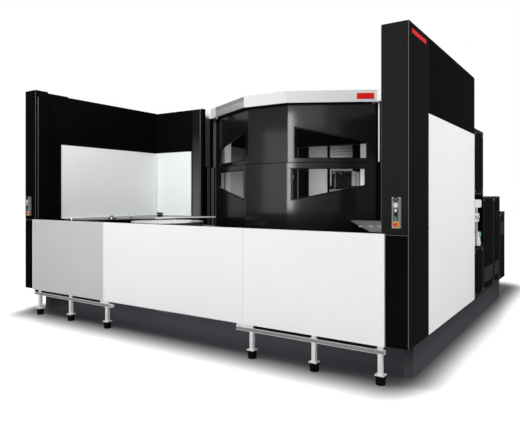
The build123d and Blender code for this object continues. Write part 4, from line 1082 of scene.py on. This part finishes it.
class Sky(Finish):
    """The world's nodes, made as a finish's are."""

    def __init__(self, scene_world):
        scene_world.use_nodes = True
        self.tree = scene_world.node_tree
        self.tree.nodes.clear()

    def seen(self):
        """1 where the viewer, a reflection or a clear pane looks, 0 for light that falls on surfaces."""
        seen = 0.0
        for output in (0, 3, 6):
            seen = self.node("ShaderNodeLightPath", output=output) + seen
        return seen.clamped()


scene = bpy.context.scene
scene.view_settings.view_transform = "Standard"
if scene.world is None:
    scene.world = bpy.data.worlds.new("studio")
sky = Sky(scene.world)
ambient_level = 0.32
sky_strength = sky.seen() * (1.0 - ambient_level) + ambient_level
backdrop = sky.node("ShaderNodeBackground", {}, {"Color": (1, 1, 1, 1), "Strength": sky_strength})
sky_output = sky.tree.nodes.new("ShaderNodeOutputWorld")
sky.tree.links.new(backdrop.socket, sky_output.inputs[0])

# The machine's soft shadow is painted on the floor: dark in a rectangle a little inside the machine's plan,
# it brightens from there over 0.62 m across and 1.15 m in depth.
bpy.ops.mesh.primitive_plane_add(size=90)
floor = bpy.context.object
floor.name = "studio_floor"
ground = Finish("studio_floor", Specular_IOR_Level=0.22, Emission_Strength=1.0)
footprint_front = column_face_y + 0.42
footprint_rear = 3.1
footprint_middle = (0.0, (footprint_front + footprint_rear) / 2, 0.0)
footprint_half = (2.93, (footprint_rear - footprint_front) / 2, 1.0)
from_middle = ground.vector("ABSOLUTE", ground.vector("SUBTRACT", ground.place(), footprint_middle))
beyond = ground.vector("MAXIMUM", ground.vector("SUBTRACT", from_middle, footprint_half))
away = ground.vector("LENGTH", ground.vector("DIVIDE", beyond, (0.62, 1.15, 1.0)), output=1)
clear_of_painted_shadow = ground.node("ShaderNodeMapRange", {"interpolation_type": "SMOOTHSTEP"}, {"Value": away}).power(2.2)
viewed = ground.node("ShaderNodeLightPath", output=0)
ground.set(
    Base_Color=ground.blend(clear_of_painted_shadow, (0.052, 0.055, 0.062), (0.92, 0.92, 0.925)),
    Emission_Color=ground.blend(viewed * clear_of_painted_shadow, (0, 0, 0), (0.55, 0.55, 0.55)),
    Roughness=(0.62 - clear_of_painted_shadow * 0.44 + ground.noise(0.5, 2.0) * 0.06).clamped(),
)
floor.data.materials.append(ground.material)


def lamp(name, kind, place, target, power, **settings):
    """A lamp that points at a target, out of the camera's sight."""
    data = bpy.data.lights.new(name, kind)
    data.energy = power
    for setting, value in settings.items():
        setattr(data, setting, value)
    hung = bpy.data.objects.new(name, data)
    hung.location = place
    hung.rotation_euler = (Vector(target) - Vector(place)).to_track_quat("-Z", "Y").to_euler()
    hung.visible_camera = False
    scene.collection.objects.link(hung)


def area_lamp(name, place, target, width, height, power):
    lamp(name, "AREA", place, target, power, shape="RECTANGLE", size=width, size_y=height)


def room_spot(name, place, target, cone, power):
    cone = math.radians(cone)
    lamp(name, "SPOT", place, target, power, spot_size=cone, spot_blend=1.0, shadow_soft_size=0.15)


area_lamp("key_softbox", (4.6, -9.4, 5.4), (1.2, -3.4, 0.9), 2.6, 2.6, 60)
area_lamp("strip_softbox", (4.65, -9.3, 3.05), (0.5, -1.05, 2.5), 0.18, 3.3, 124)
area_lamp("left_strip_softbox", (-4.2, -9.0, 2.6), (0.2, -1.1, 2.3), 1.8, 3.0, 60)
area_lamp("liner_softbox", (-1.2, -4.9, 6.8), (-2.2, -0.6, 2.0), 3.0, 2.0, 345)
area_lamp("right_softbox", (9.5, -1.5, 5.0), (3.2, -1.2, 2.0), 4.0, 4.0, 288)
room_spot("work_room_light", (0.9, 0.1, 1.45), (-0.3, 1.9, 1.95), 56, 300)
room_spot("work_room_left_light", (-0.2, 1.0, 1.4), (-1.84, 0.55, 1.85), 52, 90)

# Camera fitted to the photo: the picture's measures in pixels
picture_width = 520
picture_height = 436
focal_px = 521.7
horizon_px = 196.0
middle_px = 262.4
lens = bpy.data.cameras.new("photo_camera")
lens.sensor_width = 36.0
lens.lens = lens.sensor_width * focal_px / picture_width
lens.shift_x = (picture_width / 2 - middle_px) / picture_width
lens.shift_y = (horizon_px - picture_height / 2) / picture_width
camera = bpy.data.objects.new("photo_camera", lens)
camera.location = (4.7708, column_face_y - 4.999, 1.8765)
camera.rotation_euler = (math.radians(90), 0, math.radians(33.4))
scene.collection.objects.link(camera)
scene.camera = camera
